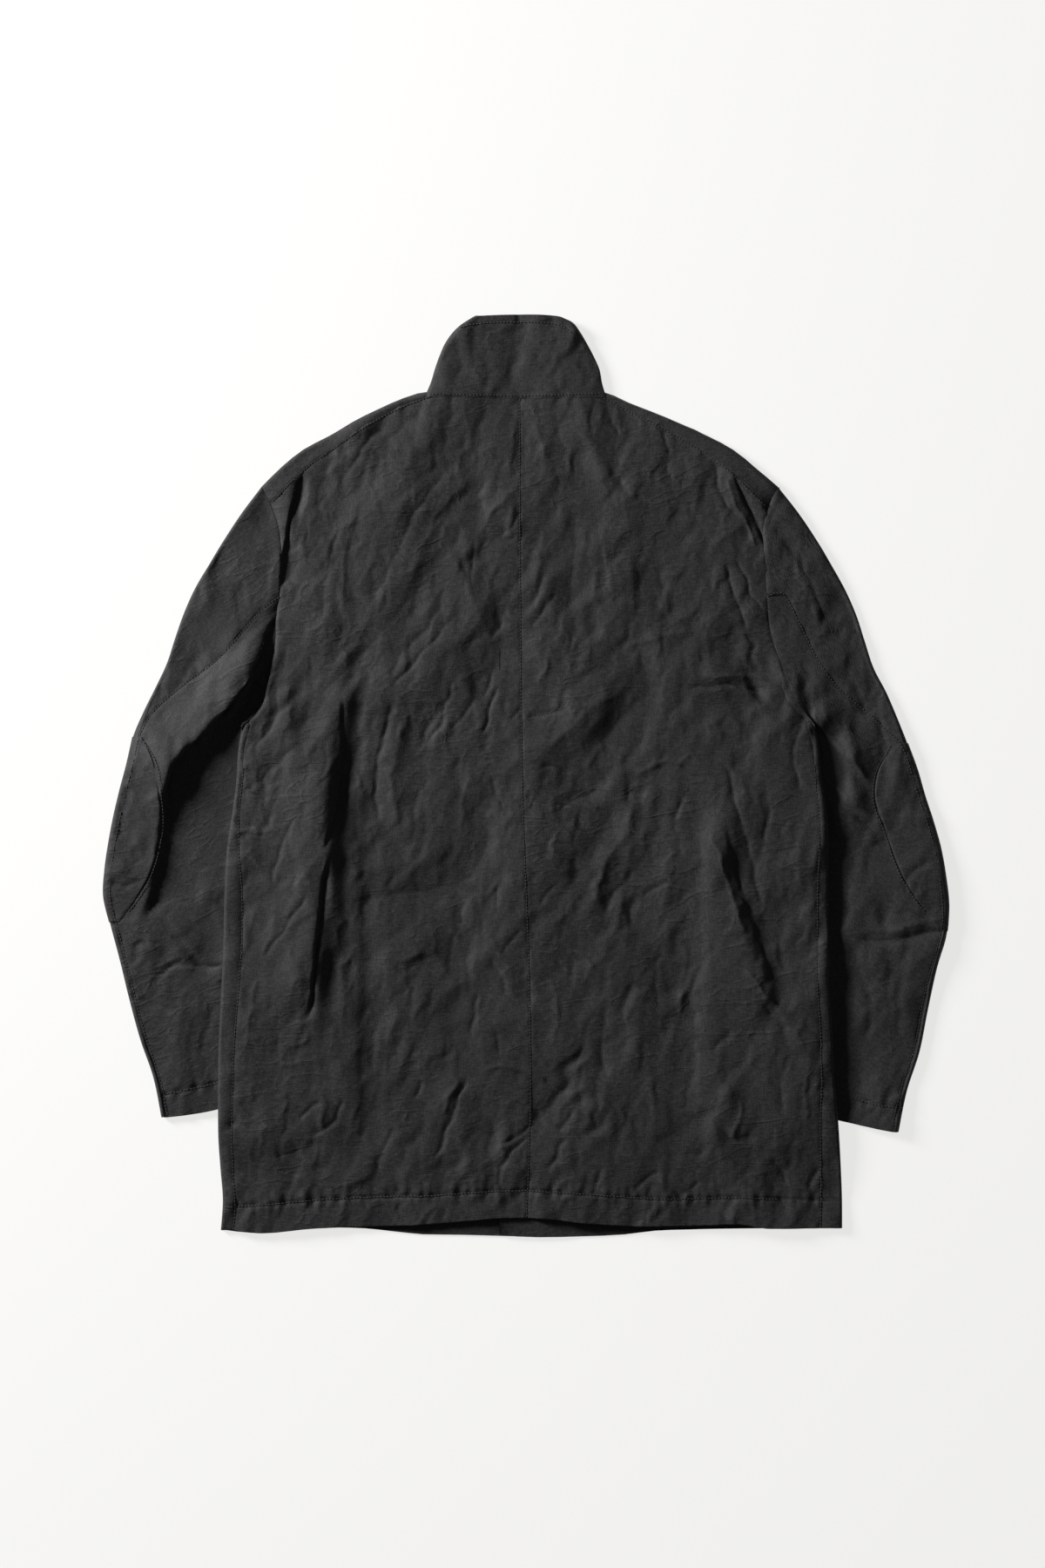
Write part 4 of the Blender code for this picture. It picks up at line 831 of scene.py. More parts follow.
def body_lines(side):
    """The body's lines on one side: edge, side seam, shoulder edge and shoulder seam."""
    inward = -side["sign"]
    turn_x, turn_y = side["shoulder_turn"]
    edge = line_through(side["body_edge"])
    shoulder = stepped(line_through(side["shoulder"]), steps=SHOULDER_STEPS)

    def side_seam(t):
        x, y, strip = edge(t)
        return (x + inward * strip, y)

    def shoulder_seam(t):
        x, y, strip = shoulder(t)
        return (x + turn_x * strip, y + turn_y * strip)

    return edge, side_seam, shoulder, shoulder_seam


def armhole_lines(side):
    """The back and front armhole, and the share at which the shoulder seam meets the back's."""
    points = side["armhole_back"]
    length = sum(math.dist(a, b) for a, b in zip(points, points[1:]))
    share = math.dist(points[0], points[1]) / length
    return stepped(line_through(points), share), stepped(line_through(side["armhole_front"])), share


# %% [markdown]
# The hems are turned up and sewn 28 mm above their edge. The sewing pulls the cloth into a shallow
# channel, and between the stitches it puckers into small bulges, which catch the light.

# %% Sewn channels
HEM_PIXELS = ((246, 1387), (258, 1385), (307, 1382), (372, 1376), (416, 1374), (495, 1372), (563, 1367),
              (604, 1366), (658, 1369), (700, 1372), (756, 1376), (855, 1374), (897, 1376), (966, 1378))
CUFF_PIXELS = {"left": ((188, 1256), (206, 1252), (231, 1247), (256, 1241)),
               "right": ((966, 1257), (975, 1260), (1010, 1269), (1034, 1271))}
COLLAR_PIXELS = ((528, 378), (542, 374), (560, 372), (600, 371), (630, 372), (645, 375), (658, 385))


def channel(pixels, depth=1.1, reach=1.7, bulge=1.2):
    """The relief of a line of stitches with puckered cloth on both sides."""
    line = in_plan(pixels)

    def relief(points):
        x, y = points[..., 0], points[..., 1]
        away, side, share = nearest_on(line, x, y)
        groove = -depth * np.exp(-(away / reach) ** 2)
        pulled = soft_noise(x, y * 0.45, 6.5, 75) + 0.6 * soft_noise(x, y * 0.4, 11, 76)
        return groove + bulge * pulled * np.exp(-(away / 9.0) ** 2)

    return relief


# %% [markdown]
# The back is two panels with a seam down the middle. Their outer edges meet the strips of the
# fronts, which turn over the sides and the shoulders onto the back.

# %% Back panels
BACK_FINE = 1.7


def make_back(which):
    """A back panel, from the side seam and armhole to the centre back seam."""
    side = SIDES[which]
    side_seam, shoulder_seam = body_lines(side)[1::2]
    armhole, _, start = armhole_lines(side)
    centre = line_through(CENTRE_BACK)
    neck_points = NECK_SEAM if side["sign"] < 0 else NECK_SEAM[::-1]
    outer = chain(side_seam, lambda t: armhole(1.0 - t * (1.0 - start)), ARMPIT_ROW)
    top = chain(turned(shoulder_seam), line_through(neck_points[:3]), 1.0 - NECK_COLUMN)
    panel = patch(line_through(side["back_hem"]), top, outer, centre)

    def place(u, v):
        x, y = panel(u, v)
        return (x, y, float(back_level(x, y)))

    return cloth_piece("back_" + which, BACK_COLUMNS, BODY_ROWS, place, side["sign"] > 0,
                       seams=("first column", "last column", "last row"), extra=channel(HEM_PIXELS),
                       fine=BACK_FINE, free=0)


# %% [markdown]
# Each front lies on the floor, out of sight but for its edges: the strip along the side, the strip
# along the shoulder, and in the middle of the hem a narrow band below the back's hem.

# %% Fronts
# A low panel follows its rolled edge's round: the higher the power, the closer to the edge
SIDE_POWER = 6
SHOULDER_POWER = 14


def front_neckline(side):
    """The front's neckline from the centre front to the neck point, which the collar follows."""
    neck_x, neck_y = side["shoulder"][0][:2]
    sign = side["sign"]
    return stepped(line_through(((CENTRE_FRONT, FRONT_NECK_DEPTH),
                                 (CENTRE_FRONT + sign * 30, FRONT_NECK_DEPTH + 5),
                                 (CENTRE_FRONT + sign * 60, FRONT_NECK_DEPTH + 21),
                                 (neck_x - sign * 9, FRONT_NECK_DEPTH + 42),
                                 (neck_x, neck_y))), steps=NECK_STEPS)


def make_front(which):
    """A front panel with the strips that turn over the side and the shoulder."""
    side = SIDES[which]
    inward = -side["sign"]
    turn_x, turn_y = side["shoulder_turn"]
    edge, _, shoulder, _ = body_lines(side)
    level = front_level if side["sign"] < 0 else right_front_level
    armhole = armhole_lines(side)[1]
    outer = chain(edge, turned(armhole), ARMPIT_ROW)
    reach = side["reach"]
    neckline = chain(lambda t: (reach + (CENTRE_FRONT - reach) * t, FRONT_NECK_DEPTH),
                     front_neckline(side), CENTRE_COLUMN / NECK_COLUMN)
    top = chain(neckline, shoulder, NECK_COLUMN)
    hem_start = side["front_hem"][0][1]
    panel = patch(line_through(side["front_hem"]), top,
                  lambda t: (reach, hem_start + (FRONT_NECK_DEPTH - hem_start) * t), outer)
    rows = [("flat", share) for share in BODY_ROWS]
    rows += [("curl", angle) for angle in CURL_ANGLES[1:]] + [("strip", 0.5), ("strip", 1.0)]
    columns = [("flat", share) for share in FRONT_COLUMNS]
    columns += [("curl", angle) for angle in CURL_ANGLES[1:]] + [("strip", 0.5), ("strip", 1.0)]

    def radius_at(x, y):
        return 0.5 * (float(back_level(x, y)) - float(level(x, y)))

    def flat_point(u, v):
        x, y = panel(u, v)
        if v < ARMPIT_ROW + 0.001:
            x += inward * radius_at(*outer(v)[:2]) * u ** SIDE_POWER
        if u > NECK_COLUMN - 0.001:
            radius = radius_at(*top(u)[:2])
            roll = radius * v ** SHOULDER_POWER
            x, y = x + turn_x * roll, y + turn_y * roll
        return (x, y, float(level(x, y)))

    def turned_point(kind, amount, edge_x, edge_y, strip, step_x, step_y):
        low, high = float(level(edge_x, edge_y)), float(back_level(edge_x, edge_y))
        if kind == "curl":
            return rounded_edge(low, high, amount, lambda d: (edge_x + step_x * d, edge_y + step_y * d))
        start = 0.5 * (high - low)
        along = start + (strip - start) * amount
        x, y = edge_x + step_x * along, edge_y + step_y * along
        return (x, y, float(back_level(x, y)))

    def place(column, row):
        if column[0] != "flat" and (row[0] != "flat" or row[1] > ARMPIT_ROW + 0.001):
            # no cloth here: the points carry on from the last column, to keep it smooth
            end, before = (np.array(place(("flat", u), row)) for u in FRONT_COLUMNS[:-3:-1])
            return tuple(end + 0.5 * (end - before))
        if column[0] == "flat" and row[0] == "flat":
            return flat_point(column[1], row[1])
        if column[0] == "flat":
            t = (column[1] - NECK_COLUMN) / (1.0 - NECK_COLUMN)
            return turned_point(row[0], row[1], *shoulder(min(max(t, 0.0), 1.0)), turn_x, turn_y)
        return turned_point(column[0], column[1], *edge(min(row[1] / ARMPIT_ROW, 1.0)), inward, 0.0)

    flat_columns, flat_rows = len(FRONT_COLUMNS) - 1, len(BODY_ROWS) - 1
    armpit, neck = len(BODY_ROWS_TO_ARMPIT) - 1, FRONT_COLUMNS.index(NECK_COLUMN)

    def keep(i, j):
        if i < flat_columns and j < flat_rows:
            return True
        return j < armpit if i >= flat_columns else i >= neck

    return cloth_piece("front_" + which, columns, rows, place, side["sign"] > 0,
                       seams=("last column", "last row"), extra=channel(HEM_PIXELS), keep=keep,
                       free=0)


# %% [markdown]
# A tailored sleeve is two pieces. The outer one lies on the floor and rolls over the outer edge to
# the back seam, and the inner one is the layer in sight, whose other edge is tucked under the body.

# %% Sleeves
BACK_SEAM_SHARE, BACK_SEAM_AT_CUFF = 0.45, 0.05
SEAM_MEETS_EDGE, SEAM_FROM_EDGE = 0.42, 6.5
FRONT_SEAM_SHARE, FRONT_SEAM_FROM_EDGE, FRONT_SEAM_AT_CUFF = 0.84, 22.0, 0.86
SLEEVE_FADE, INNER_PACE, CAP_SETTLE = 5.0, 2.5, 26.0
# The sleeve sinks below the body: where that starts outside the edge, its width, and where it fades
COVER_START, COVER_WIDTH, COVER_TOP, COVER_FADE = 33.0, 16.0, 60.0, 22.0
# Share of the sleeve over which its hidden roll leaves the armhole
ROLL_START = 0.08
SLEEVE_ROWS = (0, .05, .10, .14, .18, .22, .26, .30, .34, .38, .42, .46, .50, .54, .58,
               .62, .66, .70, .76, .82, .88, .94, 1)


def sleeve_lines(side):
    """The plan lines of a sleeve, each from the armhole to the cuff or across it."""
    outer = line_through(side["sleeve_outer"])
    inner_line = line_through(side["sleeve_inner"])
    inner = lambda t: inner_line(t ** INNER_PACE)
    cuff = line_through(side["cuff"])
    armhole_back, armhole_front, _ = armhole_lines(side)
    inward = -side["sign"]
    knee = SEAM_MEETS_EDGE
    edge_at_knee = outer(knee)
    narrow = (inward * SEAM_FROM_EDGE, 0.0)
    seam_top = line_through([armhole_back(BACK_SEAM_SHARE)] + list(side["sleeve_seam"])
                            + [(edge_at_knee[0] + narrow[0], edge_at_knee[1])])
    seam_low = offset_line(lambda t: outer(knee + (1.0 - knee) * t), narrow, narrow,
                           step_between(outer(1), cuff(BACK_SEAM_AT_CUFF)))
    front_seam = offset_line(inner, step_between(inner(0), armhole_front(FRONT_SEAM_SHARE)),
                             (-inward * FRONT_SEAM_FROM_EDGE, 0.0),
                             step_between(inner(1), cuff(FRONT_SEAM_AT_CUFF)))
    return outer, inner, cuff, armhole_back, armhole_front, chain(seam_top, seam_low, knee), front_seam


def body_cover(side, x, y):
    """How far the body covers the sleeve at a point, from 0 in sight to 1 below it."""
    points = side["body_edge"]
    edge_x = float(np.interp(y, [p[1] for p in points], [p[0] for p in points]))
    depth = (edge_x - x) * side["sign"]
    return float(smooth((depth + COVER_START) / COVER_WIDTH) * smooth((COVER_TOP - y) / COVER_FADE))


def sleeve_levels(which, x, y, away, low_start):
    """Heights of the sleeve's lower and upper face at a point, some way from the armhole."""
    settle = float(smooth(away / CAP_SETTLE))
    cover = body_cover(SIDES[which], x, y)
    own = (SLEEVE_IN_SIGHT + float(folds_at(SLEEVE_FOLDS[which], x, y))) * (1.0 - cover)
    own += SLEEVE_UNDER_BODY * cover
    return low_start * (1.0 - settle), float(back_level(x, y)) * (1.0 - settle) + own * settle


def make_top_sleeve(which):
    """The outer half of a sleeve: the low layer, the rolled edge and a strip above."""
    side = SIDES[which]
    outer, _, cuff, armhole_back, armhole_front, seam, front_seam = sleeve_lines(side)
    bottom = patch(lambda t: armhole_front(t * FRONT_SEAM_SHARE),
                   lambda t: cuff(t * FRONT_SEAM_AT_CUFF), outer, front_seam, SLEEVE_FADE)
    top = patch(lambda t: armhole_back(t * BACK_SEAM_SHARE), lambda t: cuff(t * BACK_SEAM_AT_CUFF),
                outer, seam, SLEEVE_FADE)
    columns = [("low", share / 7) for share in (7, 5, 3, 2, 1)]
    columns += [("curl", angle) for angle in CURL_ANGLES] + [("high", .35), ("high", .7), ("high", 1)]

    def place(column, v):
        kind, amount = column
        edge_x, edge_y = outer(v)
        away = math.dist(outer(v), outer(0))
        low, high = sleeve_levels(which, edge_x, edge_y, away, float(front_level(*outer(0))))
        surface = top if kind == "high" or (kind == "curl" and amount > 0) else bottom
        span = math.dist(surface(0.0, v), surface(1.0, v))
        if kind == "curl":
            return rounded_edge(low, high, amount, lambda d: surface(d / span, v))
        start = 0.5 * (high - low) / span
        u = start + (1.0 - start) * amount
        x, y = surface(u, v)
        start_point = surface(u, 0.0)
        low, high = sleeve_levels(which, x, y, math.dist((x, y), start_point),
                                  float(front_level(*start_point)))
        return (x, y, low if kind == "low" else high)

    return cloth_piece("top_sleeve_" + which, columns, SLEEVE_ROWS, place, side["sign"] < 0,
                       seams=("last column", "first row"), extra=channel(CUFF_PIXELS[which]))


def make_under_sleeve(which):
    """The inner half of a sleeve: the layer in sight, the hidden rolled edge and a strip below."""
    side = SIDES[which]
    sign = side["sign"]
    _, inner, cuff, armhole_back, armhole_front, seam, front_seam = sleeve_lines(side)
    top = patch(lambda t: armhole_back(BACK_SEAM_SHARE + (1.0 - BACK_SEAM_SHARE) * t),
                lambda t: cuff(BACK_SEAM_AT_CUFF + (1.0 - BACK_SEAM_AT_CUFF) * t),
                seam, inner, SLEEVE_FADE)
    bottom = patch(lambda t: armhole_front(FRONT_SEAM_SHARE + (1.0 - FRONT_SEAM_SHARE) * t),
                   lambda t: cuff(FRONT_SEAM_AT_CUFF + (1.0 - FRONT_SEAM_AT_CUFF) * t),
                   front_seam, inner, SLEEVE_FADE)
    columns = [("high", share) for share in (1, .9, .8, .68, .56, .44, .32, .2, .1)]
    columns += [("curl", angle) for angle in CURL_ANGLES[::-1]] + [("low", .5), ("low", 1)]

    def place(column, v):
        kind, amount = column
        edge_x, edge_y = inner(v)
        away = math.dist(inner(v), inner(0))
        low, high = sleeve_levels(which, edge_x, edge_y, away, float(front_level(*inner(0))))
        surface = bottom if kind == "low" or (kind == "curl" and amount < 0) else top
        span = math.dist(surface(0.0, v), surface(1.0, v))
        if kind == "curl":
            turn = float(smooth(v / ROLL_START))
            return rounded_edge(low, high, amount, lambda d: mix(
                surface(1.0 - d / span, v), beside(inner, v, sign * d), turn))
        start = 0.5 * (high - low) / span
        u = 1.0 - (start + (1.0 - start) * amount)
        x, y = surface(u, v)
        start_point = surface(u, 0.0)
        low, high = sleeve_levels(which, x, y, math.dist((x, y), start_point),
                                  float(front_level(*start_point)))
        return (x, y, low if kind == "low" else high)

    return cloth_piece("under_sleeve_" + which, columns, SLEEVE_ROWS, place, sign < 0,
                       seams=("first column", "first row"), extra=channel(CUFF_PIXELS[which]))


# %% [markdown]
# The elbow patch is a second layer, sewn on close to its edge. It takes the sleeve's own shape,
# moved out by the thickness of the cloth, and its sewn edge sinks towards the sleeve.

# %% Elbow patches
PATCH_TUCK = 45.0
PATCH_FROM_EDGE = 9.0


def make_elbow_patch(which):
    """The patch over the elbow."""
    side = SIDES[which]
    outer = sleeve_lines(side)[0]
    sign = side["sign"]
    first, last = side["patch_rows"]
    ends = [(outer(row)[0] - sign * PATCH_FROM_EDGE, outer(row)[1]) for row in (first, last)]
    border = line_through([ends[0]] + list(side["patch"][1:-1]) + [ends[1]])
    rows = [row for row in SLEEVE_ROWS if first - 0.001 <= row <= last + 0.001]
    columns = [("high", share) for share in (1, .75, .5, .25)]
    columns += [("curl", angle) for angle in (90, 45, 0, -PATCH_TUCK)]

    def place(column, v):
        kind, amount = column
        edge_x, edge_y = outer(v)
        low, high = sleeve_levels(which, edge_x, edge_y, CAP_SETTLE, 0.0)
        radius = 0.5 * (high - low)
        end = border((v - first) / (last - first))
        span = math.dist((edge_x, edge_y), end)
        if kind == "curl":
            return rounded_edge(low, high, amount, lambda d: mix((edge_x, edge_y), end, d / span))
        share = radius / span
        x, y = mix((edge_x, edge_y), end, share + (1.0 - share) * amount)
        return (x, y, sleeve_levels(which, x, y, CAP_SETTLE, 0.0)[1])

    return cloth_piece("elbow_patch_" + which, columns, rows, place, sign > 0,
                       seams=("first column", "first row", "last row"), fine=1.8, lift=0.8,
                       allowance=0.0)


# %% [markdown]
# The stand collar is one doubled band. Its back lies on top, it rolls at both sides, and its two
# ends lie below, out of sight. A line of stitches runs below its top edge.

# %% Collar
# The collar's base lies just over the neck seam, and a little above the back
COLLAR_OVER_SEAM = 1.8
COLLAR_OFF_BACK = 0.7
# Its hidden ends: the gap to the centre front, the slant of their top edge and their height
COLLAR_END_GAP = 1.5
COLLAR_END_SLANT = (26.0, 90.0)
COLLAR_END_HEIGHT = 77.0
# Share of the height from which the roll of the sides runs into the top edge
COLLAR_ROLL_TURNS = 0.7


def make_collar():
    """The stand collar, rolled at both sides."""
    edges = {which: line_through(SIDES[which]["collar_edge"]) for which in SIDES}
    neck = line_through(NECK_SEAM)
    base = lambda t: (mix(edges["left"](0), edges["right"](0), t)[0], neck(t)[1] - COLLAR_OVER_SEAM)
    above = patch(base, line_through(COLLAR_TOP_EDGE), edges["left"], edges["right"])
    ends = {}
    for which, edge in edges.items():
        sign = SIDES[which]["sign"]
        stop = CENTRE_FRONT + sign * COLLAR_END_GAP
        neckline = front_neckline(SIDES[which])
        lower = offset_line(turned(neckline), step_between(neckline(1), edge(0)),
                            (-sign * 0.6, 1.0), (stop - CENTRE_FRONT, 1.0))
        slant_x, slant_y = COLLAR_END_SLANT
        bottom = FRONT_NECK_DEPTH + 1
        upper = line_through((edge(1), (CENTRE_FRONT + sign * slant_x, FRONT_NECK_DEPTH + slant_y),
                              (stop, bottom + COLLAR_END_HEIGHT)))
        ends[which] = patch(lower, upper, edge,
                            lambda t, stop=stop: (stop, bottom + COLLAR_END_HEIGHT * t))
    columns = [("left", share) for share in (1, .8, .6, .4, .2)]
    columns += [("left curl", angle) for angle in CURL_ANGLES]
    columns += [("above", share) for share in (.1, .2, .3, .4, .5, .6, .7, .8, .9)]
    columns += [("right curl", angle) for angle in CURL_ANGLES[::-1]]
    columns += [("right", share) for share in (.2, .4, .6, .8, 1)]

    def place(column, v):
        kind, amount = column
        base_level = BODY_DEPTH + COLLAR_OFF_BACK
        high = base_level + (COLLAR_TOP - base_level) * float(smooth(v))
        radius = 0.5 * high
        if kind == "above":
            wide = math.dist(above(0.0, v), above(1.0, v))
            start = radius / wide
            return (*above(start + (1.0 - 2.0 * start) * amount, v), high)
        which = kind.split()[0]
        if kind == which:
            span = math.dist(ends[which](0.0, v), ends[which](1.0, v))
            start = radius / span
            return (*ends[which](start + (1.0 - start) * amount, v), 0.0)
        sign = SIDES[which]["sign"]
        turn = 1.0 - float(smooth((v - COLLAR_ROLL_TURNS) / (1.0 - COLLAR_ROLL_TURNS)))

        def inward_point(distance):
            if amount > 0:
                share = distance / math.dist(above(0.0, v), above(1.0, v))
                straight = above(share if which == "left" else 1.0 - share, v)
            else:
                straight = ends[which](distance / math.dist(ends[which](0.0, v), ends[which](1.0, v)), v)
            return mix(straight, beside(edges[which], v, sign * distance), turn)

        return rounded_edge(0.0, high, amount, inward_point)

    stitched = channel(COLLAR_PIXELS, depth=0.5, reach=1.4, bulge=0.25)
    return cloth_piece("collar", columns, (0, .15, .3, .45, .6, .75, .88, 1), place, False,
                       seams=("first row",), fine=2.0, extra=stitched)


# %% Make the cloth
cloth = {}
for which in SIDES:
    cloth["back_" + which] = make_back(which)
    cloth["front_" + which] = make_front(which)
    cloth["top_sleeve_" + which] = make_top_sleeve(which)
    cloth["under_sleeve_" + which] = make_under_sleeve(which)
    cloth["elbow_patch_" + which] = make_elbow_patch(which)
cloth["collar"] = make_collar()
for name, piece in cloth.items():
    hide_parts(name)

# %% [markdown]
# Washed charcoal twill: the colour is uneven in soft patches, slubs run across as short lighter and
# darker dashes, and the twill's fine diagonals and the threads give a dry, slightly shiny surface.
# The same effect serves every piece, so it is one node group.

# %% Cloth material
CHARCOAL = (0.0176, 0.0172, 0.0179)


def group_socket(group, name, kind, way, value=None):
    """A named input or output of a node group."""
    made = group.interface.new_socket(name=name, in_out=way, socket_type=kind)
    if value is not None:
        made.default_value = value
    return made


def washed_twill_group():
    """Colour, roughness and height of washed twill, from Object coordinates in metres."""
    group = bpy.data.node_groups.new("washed twill", "ShaderNodeTree")
    group_socket(group, "Colour", "NodeSocketColor", "INPUT", (*CHARCOAL, 1.0))
    group_socket(group, "Turn", "NodeSocketFloat", "INPUT", 0.0)
    group_socket(group, "Colour", "NodeSocketColor", "OUTPUT")
    group_socket(group, "Roughness", "NodeSocketFloat", "OUTPUT")
    group_socket(group, "Height", "NodeSocketFloat", "OUTPUT")
    group_socket(group, "Creases", "NodeSocketFloat", "OUTPUT")
    nodes, links = group.nodes, group.links
    given, out = nodes.new("NodeGroupInput"), nodes.new("NodeGroupOutput")
    place = nodes.new("ShaderNodeTexCoord")
    turn = nodes.new("ShaderNodeVectorRotate")
    turn.rotation_type = "Z_AXIS"
    links.new(place.outputs["Object"], turn.inputs["Vector"])
    links.new(given.outputs["Turn"], turn.inputs["Angle"])

    def noise(scale, stretch=(1, 1, 1), detail=2.0, rough=0.5):
        mapping = nodes.new("ShaderNodeMapping")
        mapping.inputs["Scale"].default_value = stretch
        links.new(turn.outputs["Vector"], mapping.inputs["Vector"])
        made = nodes.new("ShaderNodeTexNoise")
        made.inputs["Scale"].default_value = scale
        made.inputs["Detail"].default_value = detail
        made.inputs["Roughness"].default_value = rough
        links.new(mapping.outputs["Vector"], made.inputs["Vector"])
        return made.outputs["Fac"]

    def mapped(value, low, high, to_low, to_high):
        made = nodes.new("ShaderNodeMapRange")
        for name, number in (("From Min", low), ("From Max", high), ("To Min", to_low), ("To Max", to_high)):
            made.inputs[name].default_value = number
        links.new(value, made.inputs["Value"])
        return made.outputs["Result"]

    def maths(operation, a, b):
        made = nodes.new("ShaderNodeMath")
        made.operation = operation
        for socket, value in zip(made.inputs, (a, b)):
            if isinstance(value, (int, float)):
                socket.default_value = value
            else:
                links.new(value, socket)
        return made.outputs["Value"]

    patches = noise(9.0, detail=3.0)
    slubs = noise(740.0, stretch=(0.22, 1.2, 1.0), detail=1.0)
    grain = noise(740.0, stretch=(1.2, 0.3, 1.0), detail=1.0)
    fine = noise(45.0, detail=4.0, rough=0.65)
    shade = maths("MULTIPLY", mapped(patches, 0.3, 0.7, 0.90, 1.10), mapped(slubs, 0.3, 0.7, 0.62, 1.42))
    shade = maths("MULTIPLY", shade, mapped(grain, 0.3, 0.7, 0.66, 1.34))
    shade = maths("MULTIPLY", shade, mapped(fine, 0.3, 0.7, 0.93, 1.08))
    scaled = nodes.new("ShaderNodeVectorMath")
    scaled.operation = "SCALE"
    links.new(given.outputs["Colour"], scaled.inputs[0])
    links.new(shade, scaled.inputs["Scale"])
    tint = nodes.new("ShaderNodeMix")
    tint.data_type = "RGBA"
    tint.blend_type = "MULTIPLY"
    tint.inputs["Factor"].default_value = 1.0
    hue = nodes.new("ShaderNodeValToRGB")
    hue.color_ramp.elements[0].position = 0.36
    hue.color_ramp.elements[0].color = (1.025, 0.99, 1.0, 1.0)
    hue.color_ramp.elements[1].position = 0.64
    hue.color_ramp.elements[1].color = (0.98, 1.0, 1.0, 1.0)
    links.new(noise(14.0, detail=2.0), hue.inputs["Fac"])
    links.new(scaled.outputs["Vector"], tint.inputs["A"])
    links.new(hue.outputs["Color"], tint.inputs["B"])
    links.new(tint.outputs["Result"], out.inputs["Colour"])
    links.new(mapped(slubs, 0.3, 0.7, 0.66, 0.82), out.inputs["Roughness"])
    wave = nodes.new("ShaderNodeTexWave")
    wave.bands_direction = "DIAGONAL"
    wave.inputs["Scale"].default_value = 190.0
    wave.inputs["Distortion"].default_value = 1.2
    links.new(turn.outputs["Vector"], wave.inputs["Vector"])
    height = maths("ADD", maths("MULTIPLY", slubs, 0.55), maths("MULTIPLY", grain, 0.35))
    height = maths("ADD", height, maths("MULTIPLY", wave.outputs["Fac"], 0.16))
    height = maths("ADD", height, maths("MULTIPLY", fine, 0.9))
    links.new(height, out.inputs["Height"])
    crease = None
    for scale, width, turned_by, stretch in ((15.0, 0.022, 0.9, (0.5, 1.3, 1.0)),
                                             (24.0, 0.030, 1.25, (0.5, 1.3, 1.0)),
                                             (38.0, 0.045, 0.55, (0.6, 1.2, 1.0)),
                                             (62.0, 0.065, 1.7, (0.6, 1.2, 1.0))):
        mapping = nodes.new("ShaderNodeMapping")
        mapping.inputs["Scale"].default_value = stretch
        mapping.inputs["Rotation"].default_value = (0.0, 0.0, -turned_by)
        links.new(turn.outputs["Vector"], mapping.inputs["Vector"])
        ridges = nodes.new("ShaderNodeTexNoise")
        ridges.inputs["Scale"].default_value = scale
        ridges.inputs["Detail"].default_value = 1.5
        ridges.inputs["Roughness"].default_value = 0.5
        ridges.inputs["Distortion"].default_value = 0.25
        links.new(mapping.outputs["Vector"], ridges.inputs["Vector"])
        away = maths("ABSOLUTE", maths("SUBTRACT", ridges.outputs["Fac"], 0.5), 0.0)
        line = maths("MAXIMUM", maths("SUBTRACT", 1.0, maths("DIVIDE", away, width)), 0.0)
        patchy = mapped(noise(scale * 0.7, detail=1.0), 0.46, 0.60, 0.0, 1.0)
        line = maths("MULTIPLY", line, patchy)
        crease = line if crease is None else maths("ADD", crease, line)
    cluster = mapped(noise(11.0, detail=2.0), 0.40, 0.60, 0.35, 1.0)
    links.new(maths("MULTIPLY", crease, cluster), out.inputs["Creases"])
    return group


TWILL = washed_twill_group()


def cloth_finish(name, colour, turn):
    """The material of one piece of cloth."""
    material = bpy.data.materials.new(name)
    material.use_nodes = True
    nodes, links = material.node_tree.nodes, material.node_tree.links
    shader = nodes["Principled BSDF"]
    twill = nodes.new("ShaderNodeGroup")
    twill.node_tree = TWILL
    twill.inputs["Colour"].default_value = (*colour, 1.0)
    twill.inputs["Turn"].default_value = turn
    bump = nodes.new("ShaderNodeBump")
    bump.inputs["Strength"].default_value = 0.55
    bump.inputs["Distance"].default_value = 0.0007
    links.new(twill.outputs["Colour"], shader.inputs["Base Color"])
    links.new(twill.outputs["Roughness"], shader.inputs["Roughness"])
    crumpled = nodes.new("ShaderNodeBump")
    crumpled.inputs["Strength"].default_value = 0.4
    crumpled.inputs["Distance"].default_value = 0.0007
    links.new(twill.outputs["Creases"], crumpled.inputs["Height"])
    links.new(crumpled.outputs["Normal"], bump.inputs["Normal"])
    links.new(twill.outputs["Height"], bump.inputs["Height"])
    links.new(bump.outputs["Normal"], shader.inputs["Normal"])
    shader.inputs["Specular IOR Level"].default_value = 0.28
    shader.inputs["Sheen Weight"].default_value = 0.06
    shader.inputs["Sheen Roughness"].default_value = 0.5
    return material


TURNS = {"top_sleeve_left": -0.5, "under_sleeve_left": -0.35, "elbow_patch_left": -0.1,
         "top_sleeve_right": 0.5, "under_sleeve_right": 0.35, "elbow_patch_right": 0.1}
for name, piece in cloth.items():
    tone = 0.97 if name.startswith("elbow") else 1.0
    piece.data.materials.append(cloth_finish(name + " twill", [c * tone for c in CHARCOAL],
                                             TURNS.get(name, 0.0)))

# %% [markdown]
# The hems, cuffs, patches and the collar's top edge are sewn through with dark thread. Each stitch
# is a short rounded bead of a few faces, laid along its line on the finished cloth.

# %% Stitches
STITCH = 2.6
STITCH_PITCH = 3.3
THREAD = 0.34
upward = [(v.co.copy(), v.normal.copy()) for piece in cloth.values() for v in piece.data.vertices
          if v.normal.z > 0.45]
surface_tree = kdtree.KDTree(len(upward))
for k, (spot, _) in enumerate(upward):
    surface_tree.insert((spot.x, spot.y, 0.0), k)
surface_tree.balance()


def on_cloth(x, y):
    """The highest cloth near a point of the plan, and its normal."""
    near = surface_tree.find_n((x * MM, y * MM, 0.0), 6)
    best = max((k for _, k, _ in near), key=lambda k: upward[k][0].z)
    return Vector((x * MM, y * MM, upward[best][0].z)), upward[best][1]


